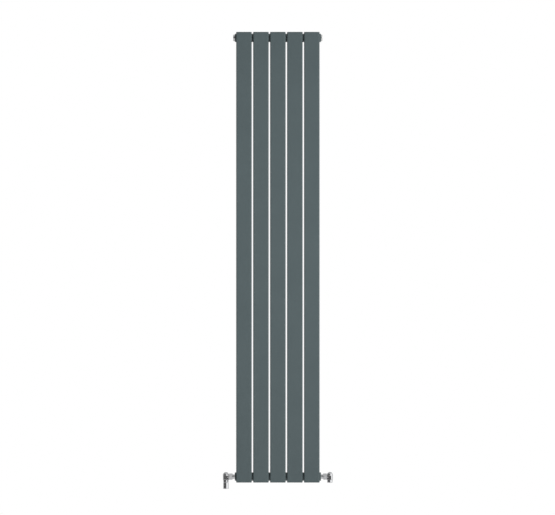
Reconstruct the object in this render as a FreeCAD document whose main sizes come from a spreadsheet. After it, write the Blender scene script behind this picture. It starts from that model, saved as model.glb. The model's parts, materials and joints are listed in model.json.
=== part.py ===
import FreeCAD, Part


# Vertical flat-panel radiator with its angle valves, plugs and wall brackets, in millimetres.
#
# +X runs to the right of someone who faces the radiator, +Y into the wall, and +Z up. The origin lies on
# the wall's surface, at the centre of the wall screws' pattern. Five flat tubes stand in front of two
# round headers. Each header end holds a threaded socket: a blanking plug and an air vent at the top, and
# two angle valves at the bottom. Each valve holds a spindle that turns without rising, and a jumper that
# the spindle raises and lowers on a left-hand thread.

import math
import os
import re
import sys

import Sketcher
from FreeCAD import Placement, Rotation, Vector

# Each alias is a cell of the spreadsheet: its value in millimetres (or a count), and what it is.
DIMENSIONS = {
    "overall_height": (1800, "panels, end to end"),
    "panel_count": (5, "flat tubes side by side"),
    "panel_pitch": (67.75, "panel centre to panel centre"),
    "panel_width": (62, "flat tube, across its face"),
    "panel_depth": (11, "flat tube, front to back"),
    "panel_wall": (1.5, "flat tube's wall"),
    "panel_corner": (4.5, "flat tube's outside corner radius"),
    "end_plate": (4, "closure welded on a panel's end, thickness"),
    "end_plate_round": (2.5, "closure's outer edge radius"),
    "header_diameter": (33.7, "header tube, outside"),
    "header_wall": (2.6, "header tube's wall"),
    "header_length": (332, "header tube, without its end sockets"),
    "header_inset": (24, "header's axis from the panels' ends"),
    "header_to_wall": (47, "header's axis from the wall"),
    "header_to_panel": (3, "gap between a header and the panels' backs"),
    "nipple_diameter": (20, "water way between panel and header, outside"),
    "nipple_wall": (2, "nipple's wall"),
    "nipple_reach": (5.4, "nipple's length inside the header's outline"),
    "baffle_thickness": (2, "disc that sends the flow up the first panel"),
    "fit_gap": (0.05, "clearance between fitted pieces"),
    "running_gap": (0.1, "clearance between pieces that move past each other"),
    "face_gap": (0.2, "gap between a shoulder and the face beside it"),
    "thread_lead": (1, "bevel at a thread's leading end"),
    "run_out": (1, "how far a cut runs on past the face it opens"),
    "socket_face": (6, "end socket outside the header tube"),
    "socket_spigot": (10, "end socket inside the header tube"),
    "socket_round": (3, "end socket's outer edge radius"),
    "port_radius": (10.45, "end socket's threaded port"),
    "plug_thread": (10.4, "radius of a thread that screws into a port"),
    "plug_reach": (10, "a plug's thread length"),
    "plug_radius": (13, "a plug's flange"),
    "plug_head": (6.5, "a plug's head outside the socket"),
    "plug_round": (1.8, "a plug's outer edge radius"),
    "plug_key": (10, "blanking plug's hexagon socket, across flats"),
    "plug_key_depth": (4.5, "blanking plug's hexagon socket, depth"),
    "ring_cord": (0.8, "plug seal's cord radius"),
    "ring_radius": (11.3, "plug seal's ring radius"),
    "ring_room": (0.3, "room round a plug seal in its recess"),
    "vent_flange": (3.2, "air vent's flange"),
    "vent_boss": (8, "air vent's boss radius, inside the collar"),
    "vent_lip": (8.5, "lip that keeps the collar on, radius"),
    "vent_lip_length": (0.6, "lip's length"),
    "vent_well": (4.6, "recess round the bleed screw's head, radius"),
    "vent_well_floor": (2.5, "recess's floor from the socket's face"),
    "collar_radius": (12.2, "drain collar, outside"),
    "drain_hole": (0.9, "drain holes' radius"),
    "bleed_thread": (3, "bleed screw's thread radius"),
    "bleed_square": (5, "bleed screw's square head"),
    "bleed_setback": (0.5, "bleed screw's head behind the plug's face"),
    "bleed_hollow": (1.5, "floor of the bleed screw's hollow end, inside the socket's face"),
    "bleed_seat": (5.02, "bleed seat's depth in the port"),
    "bleed_way": (1.2, "bleed passage's radius"),
    "bleed_tip_radius": (2.6, "seal tip's shoulder radius"),
    "bleed_tip_height": (1.42, "seal tip's shoulder above its seat"),
    "bleed_nose": (0.58, "seal tip's nose past its seat"),
    "bleed_nose_radius": (0.6, "seal tip's nose radius"),
    "valve_offset": (35.5, "valve's pipe axis from the header's end"),
    "valve_radius": (12, "valve body, outside"),
    "valve_top": (7, "valve body's top above the union's axis"),
    "valve_bottom": (13, "valve body's bottom below the union's axis"),
    "valve_bevel": (0.8, "valve body's edge bevel"),
    "valve_flats": (21.2, "valve body's flat sides, front to back"),
    "valve_flats_top": (3.5, "flat sides' top above the union's axis"),
    "valve_flats_end": (11, "flat sides' end towards the union, from the pipe's axis"),
    "valve_flats_corner": (3, "flat sides' corner radius at the union"),
    "head_clearance": (0.3, "gap that the union boss leaves round the valve's head"),
    "chamber_radius": (8.05, "valve's chamber, which is the bonnet's thread too"),
    "seat_depth": (8.05, "valve's seat below the union's axis"),
    "seat_radius": (5, "water way through the seat"),
    "pipe_stop": (12, "where the pipe stops in the valve, below the union's axis"),
    "pipe_boss": (20, "lower boss's end below the union's axis"),
    "pipe_boss_radius": (9.2, "lower boss's thread"),
    "pipe_radius": (7.5, "15 mm pipe, outside"),
    "pipe_bore": (6.8, "15 mm pipe, inside"),
    "pipe_fit": (7.6, "bore that takes a 15 mm pipe"),
    "pipe_length": (37, "pipe stub with the valve's socket, to its open end"),
    "sleeve_radius": (10.75, "chrome pipe sleeve, outside"),
    "sleeve_wall": (0.8, "chrome pipe sleeve's wall"),
    "union_face": (19, "face of the valve's union boss from the pipe's axis"),
    "union_radius": (10.5, "union boss's thread"),
    "union_flats": (25, "union nut, across flats"),
    "union_bevel": (1.1, "union nut's corner bevel"),
    "union_start": (12.5, "union nut's valve end from the pipe's axis"),
    "union_end": (26.5, "union nut's radiator end from the pipe's axis"),
    "union_lip": (2.4, "union nut's inward lip"),
    "union_lip_gap": (0.15, "union nut's lip round the tail's shank"),
    "tail_bore": (5.5, "water way through the tail"),
    "tail_shank": (9, "tail between its nut and the header, radius"),
    "tail_collar": (10.3, "tail's collar inside the union nut, radius"),
    "tail_reach": (12, "tail's thread inside the header's socket"),
    "tail_key": (12, "tail's inner hexagon, across flats"),
    "tail_key_depth": (8, "tail's inner hexagon, depth"),
    "tail_groove": (8.9, "tail's seal groove, radius at its floor"),
    "tail_groove_at": (3.5, "tail's seal from the header's end"),
    "tail_cord": (0.75, "tail seal's cord radius"),
    "nut_radius": (10.75, "pipe nut, outside"),
    "nut_edge": (0.6, "pipe nut's edge bevel"),
    "nut_flats": (20.6, "spanner flats on the pipe nut's sides"),
    "nut_flats_height": (4, "pipe nut's spanner flats, from its lower end"),
    "nut_top": (13.4, "pipe nut's top below the union's axis"),
    "nut_bottom": (24.4, "pipe nut's bottom below the union's axis"),
    "nut_lip": (1.9, "pipe nut's inward lip"),
    "olive_radius": (9.1, "compression ring, outside"),
    "olive_bevel": (0.5, "compression ring's bevel, across"),
    "olive_taper": (0.9, "compression ring's bevel, along"),
    "bonnet_bottom": (1.5, "bonnet's lower end above the union's axis"),
    "bonnet_flats": (17, "bonnet's hexagon, across flats"),
    "bonnet_hex": (2.6, "bonnet's hexagon, height"),
    "neck_radius": (6, "bonnet's neck"),
    "neck_top": (12.4, "bonnet's top above the union's axis"),
    "guide_flats": (9.2, "bonnet's hexagon guide for the jumper"),
    "guide_top": (8.6, "guide's top above the union's axis"),
    "gland_radius": (4.3, "spindle seal's groove in the bonnet"),
    "gland_bottom": (9.7, "spindle seal groove's floor height"),
    "gland_height": (1.6, "spindle seal groove's height"),
    "spindle_radius": (3.2, "spindle through the gland"),
    "spindle_collar": (4.5, "spindle's thrust collar"),
    "spindle_collar_height": (1.3, "spindle's thrust collar, height"),
    "spindle_thread": (2.9, "spindle's left-hand thread, radius"),
    "spindle_bottom": (1.5, "spindle's lower end below the union's axis"),
    "spindle_square": (4.5, "spindle's square"),
    "spindle_top": (15.4, "spindle's top above the union's axis"),
    "jumper_radius": (6.9, "jumper's disc"),
    "jumper_bottom": (3.4, "jumper disc's underside below the union's axis, valve open"),
    "jumper_disc": (2.4, "jumper's disc, thickness"),
    "jumper_flats": (9, "jumper's hexagon stem, across flats"),
    "jumper_top": (6.4, "jumper's top above the union's axis, valve open"),
    "jumper_bore_end": (2, "jumper's thread's end below the union's axis, valve open"),
    "washer_radius": (6.5, "jumper's sealing washer"),
    "washer_thickness": (1.6, "jumper's sealing washer"),
    "cap_bottom": (7.3, "valve head's rim above the union's axis"),
    "cap_radius": (11.7, "valve head's rim"),
    "cap_shoulder": (12.8, "valve head's shoulder above the union's axis"),
    "cap_shoulder_radius": (10.2, "valve head's shoulder, before rounding"),
    "cap_top": (18.4, "valve head's top above the union's axis"),
    "cap_crown_radius": (4.6, "valve head's flat top, before rounding"),
    "cap_round": (10, "rounding of the valve head's shoulder and crown"),
    "cap_cavity": (10.1, "valve head, inside radius"),
    "cap_cavity_top": (9.8, "top of the cavity's straight side above the union's axis"),
    "cap_roof": (15.6, "valve head's inside height above the union's axis"),
    "cap_roof_radius": (5.4, "valve head's inside roof"),
    "cap_grip": (2.1, "lockshield cap's hexagon ring, height"),
    "hub_radius": (4.7, "hand wheel's hub"),
    "hub_bottom": (12.6, "hand wheel's hub above the union's axis"),
    "wheel_screw_head": (3, "hand wheel screw's head radius"),
    "wheel_screw_shank": (1.45, "hand wheel screw's shank radius"),
    "wheel_screw_seat": (16.6, "hand wheel screw's seat above the union's axis"),
    "wheel_screw_top": (17.8, "hand wheel screw's top above the union's axis"),
    "wheel_screw_end": (11.4, "hand wheel screw's end above the union's axis"),
    "wheel_screw_key": (2.5, "hand wheel screw's hexagon socket, across flats"),
    "wheel_screw_key_depth": (2, "hand wheel screw's hexagon socket, depth"),
    "bracket_spread": (271, "left brackets to right brackets"),
    "bracket_width": (32, "wall bracket's plate"),
    "bracket_above": (12, "plate's end beyond the header's axis, outwards"),
    "bracket_below": (58, "plate's end from the header's axis, inwards"),
    "bracket_sheet": (3, "wall bracket's steel"),
    "bracket_corner": (4, "plate's corner radius"),
    "cheek_gap": (4.6, "gap between the two cheeks"),
    "cheek_reach": (27, "cheeks' end from the wall"),
    "cheek_half_height": (11, "half a cheek's height"),
    "cheek_corner": (5, "cheek's corner radius"),
    "slot_length": (14, "depth slot in the cheeks"),
    "slot_width": (6.6, "depth slot's width"),
    "slot_round": (3.29, "depth slot's end radius"),
    "wall_hole": (3.25, "wall screw holes' radius"),
    "wall_hole_near": (26, "nearer wall screw from the header's axis"),
    "wall_hole_far": (48, "further wall screw from the header's axis"),
    "lug_thickness": (4, "lug welded on the header"),
    "lug_half_height": (9, "half the lug's height"),
    "lug_end": (6, "lug's end from the wall"),
    "lock_screw_at": (16, "lock screw from the wall"),
    "lock_screw": (3, "lock screw's radius"),
    "lock_hole": (3.3, "lug's hole for the lock screw, radius"),
    "lock_flats": (10, "lock screw's and nut's hexagon, across flats"),
    "lock_head": (4, "lock screw's head"),
    "lock_nut": (5, "lock nut's height"),
    "lock_tail": (2, "thread past the lock nut"),
}

# Places that many pieces share, as expressions of those cells.
HEADER_Z = "(overall_height / 2 - header_inset)"
HEADER_END = "(header_length / 2 + socket_face)"
HEADER_INSIDE = "(header_diameter / 2 - header_wall)"
FIRST_PANEL_X = "(-(panel_count - 1) / 2 * panel_pitch)"
PANEL_BACK = "(header_to_wall + header_diameter / 2 + header_to_panel)"
BRACKET_X = "(bracket_spread / 2)"

CLOSE = 1e-4  # two places nearer than this are the same

doc = FreeCAD.newDocument("radiator")
pieces = []


# ---------------------------------------------------------------- drawing helpers


def bound(text):
    """An expression with every alias written as its spreadsheet cell."""
    return re.sub(
        r"[a-z_]+",
        lambda word: "Dimensions." + word.group(0) if word.group(0) in DIMENSIONS else word.group(0),
        text,
    )


def value(holder, text):
    """What an expression comes to now, as a number."""
    return float(holder.evalExpression(bound(text)))


def bind(holder, name, text):
    holder.setExpression(name, bound(text))


def make_sheet():
    sheet = doc.addObject("Spreadsheet::Sheet", "Dimensions")
    for row, (alias, (size, meaning)) in enumerate(DIMENSIONS.items(), start=1):
        sheet.set(f"A{row}", meaning)
        sheet.set(f"B{row}", str(size))
        sheet.setAlias(f"B{row}", alias)
    doc.recompute()


def new_body(label, several_solids=False):
    body = doc.addObject("PartDesign::Body", label)
    body.Label = label
    body.AllowCompound = several_solids
    pieces.append(body)
    return body


def origin_feature(body, role):
    return next(f for f in body.Origin.OriginFeatures if f.Role == role)


def new_sketch(body, plane, offset="0"):
    """A sketch on one of the body's own planes, moved along that plane's normal."""
    sketch = body.newObject("Sketcher::SketchObject", "Sketch")
    sketch.AttachmentSupport = (origin_feature(body, plane + "_Plane"), [""])
    sketch.MapMode = "FlatFace"
    if offset != "0":
        bind(sketch, "AttachmentOffset.Base.z", offset)
    return sketch


def fix_point(sketch, item, end, x, y):
    """Ties one point of a sketch to a place given by two expressions."""
    for kind, axis, text in (("DistanceX", -2, x), ("DistanceY", -1, y)):
        if text == "0":
            sketch.addConstraint(Sketcher.Constraint("PointOnObject", item, end, axis))
        else:
            size = value(sketch, text)
            index = sketch.addConstraint(Sketcher.Constraint(kind, -1, 1, item, end, size))
            bind(sketch, f"Constraints[{index}]", text)


def polygon(sketch, corners):
    """A closed outline through corners, each an (x, y) pair of expressions."""
    at = [Vector(value(sketch, x), value(sketch, y), 0) for x, y in corners]
    first = sketch.GeometryCount
    count = len(corners)
    for i in range(count):
        sketch.addGeometry(Part.LineSegment(at[i], at[(i + 1) % count]))
    for i, (x, y) in enumerate(corners):
        here, before = first + i, first + (i - 1) % count
        sketch.addConstraint(Sketcher.Constraint("Coincident", before, 2, here, 1))
        fix_point(sketch, here, 1, x, y)


def circle(sketch, radius, x="0", y="0"):
    centre = Vector(value(sketch, x), value(sketch, y), 0)
    size = value(sketch, radius)
    item = sketch.addGeometry(Part.Circle(centre, Vector(0, 0, 1), size))
    fix_point(sketch, item, 3, x, y)
    index = sketch.addConstraint(Sketcher.Constraint("Radius", item, size))
    bind(sketch, f"Constraints[{index}]", radius)


def rectangle(sketch, low_x, high_x, low_y, high_y):
    polygon(sketch, [(low_x, low_y), (high_x, low_y), (high_x, high_y), (low_x, high_y)])


def square(sketch, side):
    half = f"({side} / 2)"
    rectangle(sketch, "-" + half, half, "-" + half, half)


def hexagon(sketch, flats, corners_across=False):
    """A hexagon with two corners on the sketch's second axis, or on its first."""
    half, corner, side = f"({flats} / 2)", f"({flats} / sqrt(3))", f"({flats} / sqrt(12))"
    right = [("0", "-" + corner), (half, "-" + side), (half, side)]
    left = [("0", corner), ("-" + half, side), ("-" + half, "-" + side)]
    corners = right + left
    polygon(sketch, [(y, x) for x, y in corners] if corners_across else corners)


def rounded_rectangle(sketch, width, height, radius, x="0", y="0"):
    """A rectangle about (x, y) whose corners are tangent arcs."""
    first = sketch.GeometryCount
    across, up, r = (value(sketch, text) / 2 for text in (width, height, f"2 * ({radius})"))
    middle = Vector(value(sketch, x), value(sketch, y), 0)
    spans = [(1, -1, 270, 360), (1, 1, 0, 90), (-1, 1, 90, 180), (-1, -1, 180, 270)]
    arcs = []
    for right, above, start, end in spans:
        centre = middle + Vector(right * (across - r), above * (up - r), 0)
        ring = Part.Circle(centre, Vector(0, 0, 1), r)
        arcs.append(Part.ArcOfCircle(ring, math.radians(start), math.radians(end)))
    for arc in arcs:
        sketch.addGeometry(arc)
    for arc, after in zip(arcs, arcs[1:] + arcs[:1]):
        sketch.addGeometry(Part.LineSegment(arc.EndPoint, after.StartPoint))
    for i, (right, above, _, _) in enumerate(spans):
        arc, line, after = first + i, first + 4 + i, first + (i + 1) % 4
        sketch.addConstraint(Sketcher.Constraint("Tangent", arc, 2, line, 1))
        sketch.addConstraint(Sketcher.Constraint("Tangent", line, 2, after, 1))
        sign_x, sign_y = ("+" if right > 0 else "-"), ("+" if above > 0 else "-")
        fix_point(sketch, arc, 3,
                  f"{x} {sign_x} (({width}) / 2 - ({radius}))",
                  f"{y} {sign_y} (({height}) / 2 - ({radius}))")
    index = sketch.addConstraint(Sketcher.Constraint("Radius", first, r))
    bind(sketch, f"Constraints[{index}]", radius)


# ---------------------------------------------------------------- feature helpers


def swept_feature(body, kind, sketch, length, both_ways=False, reverse=False):
    """A Pad or a Pocket. A Pad follows its sketch's normal, and a Pocket goes against it."""
    feature = body.newObject("PartDesign::" + kind, kind)
    feature.Profile = sketch
    bind(feature, "Length", length)
    feature.SideType = "Symmetric" if both_ways else "One side"
    feature.Reversed = reverse
    return feature


def pad(body, sketch, length, **how):
    return swept_feature(body, "Pad", sketch, length, **how)


def pocket(body, sketch, length, **how):
    before = solid_volume(body)
    feature = swept_feature(body, "Pocket", sketch, length, **how)
    if not solid_volume(body) < before:
        raise RuntimeError(f"{body.Label}: {feature.Name} cuts nothing")
    return feature


def solid_volume(body):
    doc.recompute()
    return body.Shape.Volume


def turn(body, kind, axis, corners):
    """A Revolution or a Groove about the body's X or Z axis.

    Corners are (distance along X, radius) for X, and (radius, height) for Z.
    """
    sketch = new_sketch(body, "XZ")
    polygon(sketch, corners)
    feature = body.newObject("PartDesign::" + kind, kind)
    feature.Profile = sketch
    feature.ReferenceAxis = (sketch, ["H_Axis" if axis == "X" else "V_Axis"])
    feature.Angle = 360
    return feature


def turned(label, axis, corners):
    body = new_body(label)
    turn(body, "Revolution", axis, corners)
    return body


def bore_out(body, axis, corners):
    before = solid_volume(body)
    turn(body, "Groove", axis, corners)
    if not solid_volume(body) < before:
        raise RuntimeError(f"{body.Label}: a groove cuts nothing")


def mill_hexagon(body, plane, flats, start, length, corners_across=False):
    """Cuts a round bar down to a hexagon, from start back along the plane's normal."""
    sketch = new_sketch(body, plane, start)
    circle(sketch, flats)
    hexagon(sketch, flats, corners_across)
    pocket(body, sketch, length)


def mill_flats(body, flats, radius, top, length, sideways=False):
    """Mills two parallel flats on a bar along Z: on its front and back, or on its sides."""
    half, outside = f"({flats} / 2)", f"({radius} + run_out)"
    sketch = new_sketch(body, "XY", top)
    for near, far in ((half, outside), ("-" + outside, "-" + half)):
        if sideways:
            rectangle(sketch, near, far, "-" + outside, outside)
        else:
            rectangle(sketch, "-" + outside, outside, near, far)
    pocket(body, sketch, length)


def cross_hole(body, plane, radius, length, x, reverse=False):
    """A round hole across the body, from one of its planes outwards."""
    sketch = new_sketch(body, plane)
    circle(sketch, radius, x)
    return pocket(body, sketch, length, reverse=reverse)


def round_edges(body, radius, chosen):
    """Fillets the edges of the body so far that chosen() picks."""
    doc.recompute()
    base = body.Tip
    names = [f"Edge{i}" for i, edge in enumerate(base.Shape.Edges, start=1) if chosen(edge)]
    if not names:
        raise RuntimeError(f"{body.Label}: no edge to round")
    fillet = body.newObject("PartDesign::Fillet", "Fillet")
    fillet.Base = (base, names)
    bind(fillet, "Radius", radius)
    return fillet


def rim_at(body, axis, distance, radius):
    """Picks the circular edge of that radius, that far along the axis."""
    along, size = value(body, distance), value(body, radius)

    def chosen(edge):
        ring = edge.Curve
        return (
            isinstance(ring, Part.Circle)
            and abs(ring.Radius - size) < CLOSE
            and abs(getattr(ring.Center, axis.lower()) - along) < CLOSE
        )

    return chosen


def repeat(body, axis, count, spread, feature=None):
    """Repeats a feature, or the whole body so far, over that spread from first to last."""
    doc.recompute()
    pattern = body.newObject("PartDesign::LinearPattern", "LinearPattern")
    if feature is None:
        pattern.TransformMode = "Whole shape"
    else:
        pattern.Originals = [feature]
    pattern.Direction = (origin_feature(body, axis + "_Axis"), [""])
    bind(pattern, "Length", spread)
    bind(pattern, "Occurrences", count)
    body.Tip = pattern


def place(piece, x="0", y="0", z="0", about=None, degrees=0):
    if about is not None:
        piece.Placement = Placement(Vector(), Rotation(about, degrees))
    for name, text in zip("xyz", (x, y, z)):
        if text != "0":
            bind(piece, "Placement.Base." + name, text)
    return piece


def torus(label, ring, cord):
    piece = doc.addObject("Part::Torus", label)
    piece.Label = label
    bind(piece, "Radius1", ring)
    bind(piece, "Radius2", cord)
    pieces.append(piece)
    return piece


# ---------------------------------------------------------------- panels and headers


def panel(number):
    """A hollow flat tube with a water hole at each end of its back."""
    body = new_body(f"panel_{number}")
    sketch = new_sketch(body, "XY")
    rounded_rectangle(sketch, "panel_width", "panel_depth", "panel_corner")
    rounded_rectangle(sketch, "panel_width - 2 * panel_wall", "panel_depth - 2 * panel_wall",
                      "panel_corner - panel_wall")
    pad(body, sketch, "overall_height - 2 * end_plate", both_ways=True)
    holes = new_sketch(body, "XZ")
    for sign in "+-":
        circle(holes, "nipple_diameter / 2 + fit_gap", "0", f"{sign}{HEADER_Z}")
    pocket(body, holes, "panel_depth")
    place(body, f"{FIRST_PANEL_X} + {number - 1} * panel_pitch", f"-({PANEL_BACK} + panel_depth / 2)")


def end_plates(label, sign):
    """The rounded closures on one end of all the panels."""
    body = new_body(label, several_solids=True)
    sketch = new_sketch(body, "XY")
    rounded_rectangle(sketch, "panel_width", "panel_depth", "panel_corner")
    pad(body, sketch, "end_plate")
    top = value(body, "end_plate")
    round_edges(body, "end_plate_round", lambda edge: all(abs(v.Z - top) < CLOSE for v in edge.Vertexes))
    repeat(body, "X", "panel_count", "(panel_count - 1) * panel_pitch")
    start = "-" + FIRST_PANEL_X if sign == "-" else FIRST_PANEL_X
    place(body, start, f"-({PANEL_BACK} + panel_depth / 2)", f"{sign}(overall_height / 2 - end_plate)",
          Vector(0, 1, 0), 180 if sign == "-" else 0)


def header(label, sign):
    """A round tube with one water hole behind each panel."""
    body = new_body(label)
    sketch = new_sketch(body, "YZ")
    circle(sketch, "header_diameter / 2")
    circle(sketch, HEADER_INSIDE)
    pad(body, sketch, "header_length", both_ways=True)
    hole = cross_hole(body, "XZ", "nipple_diameter / 2 + fit_gap", "header_diameter",
                      x=FIRST_PANEL_X, reverse=True)
    repeat(body, "X", "panel_count", "(panel_count - 1) * panel_pitch", hole)
    place(body, "0", "-header_to_wall", f"{sign}{HEADER_Z}")


def nipples(label, sign):
    """The short tubes that join one header to all the panels."""
    body = new_body(label, several_solids=True)
    sketch = new_sketch(body, "XZ")
    circle(sketch, "nipple_diameter / 2")
    circle(sketch, "nipple_diameter / 2 - nipple_wall")
    pad(body, sketch, "nipple_reach + header_to_panel + panel_wall")
    repeat(body, "X", "panel_count", "(panel_count - 1) * panel_pitch")
    place(body, FIRST_PANEL_X, "-(header_to_wall + header_diameter / 2 - nipple_reach)",
          f"{sign}{HEADER_Z}")


def header_baffle():
    """The disc in the bottom header, between the first two panels."""
    corners = [("0", "0"), ("baffle_thickness", "0"),
               ("baffle_thickness", f"{HEADER_INSIDE} - fit_gap"), ("0", f"{HEADER_INSIDE} - fit_gap")]
    body = turned("header_baffle", "X", corners)
    place(body, f"{FIRST_PANEL_X} + panel_pitch / 2", "-header_to_wall", f"-{HEADER_Z}")


def at_header_end(piece, sign_x, sign_z):
    """Puts a piece whose own X axis points out of the radiator at one header end."""
    return place(piece, f"{sign_x}{HEADER_END}", "-header_to_wall", f"{sign_z}{HEADER_Z}",
                 Vector(0, 0, 1), 180 if sign_x == "-" else 0)


def end_socket(label, sign_x, sign_z):
    """The threaded bush welded in a header's end."""
    outside, spigot = "header_diameter / 2", f"({HEADER_INSIDE} - fit_gap)"
    inner_end = "-(socket_face + socket_spigot)"
    body = turned(label, "X", [
        ("0", "port_radius"), ("0", outside), ("-socket_face", outside), ("-socket_face", spigot),
        (inner_end, spigot), (inner_end, "port_radius"),
    ])
    doc.recompute()
    round_edges(body, "socket_round", rim_at(body, "X", "0", outside))
    at_header_end(body, sign_x, sign_z)


# ---------------------------------------------------------------- top plugs


def plug_outline(head):
    """A plug's outline from its thread's end to its seal recess and head."""
    recess = "(ring_radius + ring_cord + ring_room)"
    return [
        ("-plug_reach", "0"), ("-plug_reach", "plug_thread - thread_lead"),
        ("thread_lead - plug_reach", "plug_thread"),
        ("2 * ring_cord", "plug_thread"), ("2 * ring_cord", recess), ("fit_gap", recess),
        ("fit_gap", "plug_radius"), *head,
    ]


def plug_seal(label, sign_x):
    """The O-ring between a plug's flange and its socket."""
    piece = torus(label, "ring_radius", "ring_cord")
    place(piece, f"{sign_x}({HEADER_END} + ring_cord)", "-header_to_wall", HEADER_Z, Vector(0, 1, 0), 90)


def blanking_plug():
    body = turned("blanking_plug", "X", plug_outline([("plug_head", "plug_radius"), ("plug_head", "0")]))
    doc.recompute()
    round_edges(body, "plug_round", rim_at(body, "X", "plug_head", "plug_radius"))
    key = new_sketch(body, "YZ", "plug_head")
    hexagon(key, "plug_key")
    pocket(body, key, "plug_key_depth")
    at_header_end(body, "-", "+")


def vent_plug():
    """The air vent's body: a plug with a threaded way through and a boss for its collar."""
    lip_start = "(plug_head - vent_lip_length)"
    body = turned("vent_plug", "X", plug_outline([
        ("vent_flange", "plug_radius"), ("vent_flange", "vent_boss"), (lip_start, "vent_boss"),
        (lip_start, "vent_lip"), ("plug_head", "vent_lip"), ("plug_head", "0"),
    ]))
    bore, start, end = "(bleed_thread + fit_gap)", "-(plug_reach + run_out)", "(plug_head + run_out)"
    bore_out(body, "X", [
        (start, "0"), (start, "bleed_way"), ("-bleed_seat", "bleed_way"), ("-bleed_seat", bore),
        ("vent_well_floor", bore), ("vent_well_floor", "vent_well"), (end, "vent_well"), (end, "0"),
    ])
    cross_hole(body, "XY", "drain_hole", "plug_radius", x="(vent_flange + plug_head) / 2")
    at_header_end(body, "+", "+")


def drain_collar():
    """The loose ring round the vent's boss, whose hole sends the bled water down."""
    inner, wide = "(vent_boss + running_gap)", "(vent_lip + 2 * running_gap)"
    start, end = "(vent_flange + running_gap)", "(plug_head - 2 * running_gap)"
    step = "(plug_head - vent_lip_length - fit_gap)"
    body = turned("drain_collar", "X", [
        (start, inner), (start, "collar_radius"), (end, "collar_radius"), (end, wide), (step, wide),
        (step, inner),
    ])
    doc.recompute()
    round_edges(body, "vent_lip_length", rim_at(body, "X", end, "collar_radius"))
    cross_hole(body, "XY", "drain_hole", "plug_radius", x="(vent_flange + plug_head) / 2")
    at_header_end(body, "+", "+")


def bleed_screw():
    """The vent's screw, with a square head for a radiator key and a hollow end for its tip."""
    end = "(bleed_tip_height + fit_gap - bleed_seat)"
    body = turned("bleed_screw", "X", [
        (end, "bleed_way"), (end, "bleed_thread"), ("vent_well_floor", "bleed_thread"),
        ("vent_well_floor", "0"), ("-bleed_hollow", "0"), ("-bleed_hollow", "bleed_way"),
    ])
    sketch = new_sketch(body, "YZ", "vent_well_floor")
    square(sketch, "bleed_square")
    pad(body, sketch, "plug_head - vent_well_floor - bleed_setback")
    at_header_end(body, "+", "+")


def bleed_tip():
    """The seal at the screw's end, which moves along with it and doesn't turn."""
    nose, shoulder = "-(bleed_seat + bleed_nose)", "(bleed_tip_height - bleed_seat)"
    root, stem = "-(bleed_hollow + running_gap)", "(bleed_way - fit_gap)"
    body = turned("bleed_tip", "X", [
        (nose, "0"), (nose, "bleed_nose_radius"), (shoulder, "bleed_tip_radius"), (shoulder, stem),
        (root, stem), (root, "0"),
    ])
    at_header_end(body, "+", "+")


# ---------------------------------------------------------------- angle valves


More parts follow.
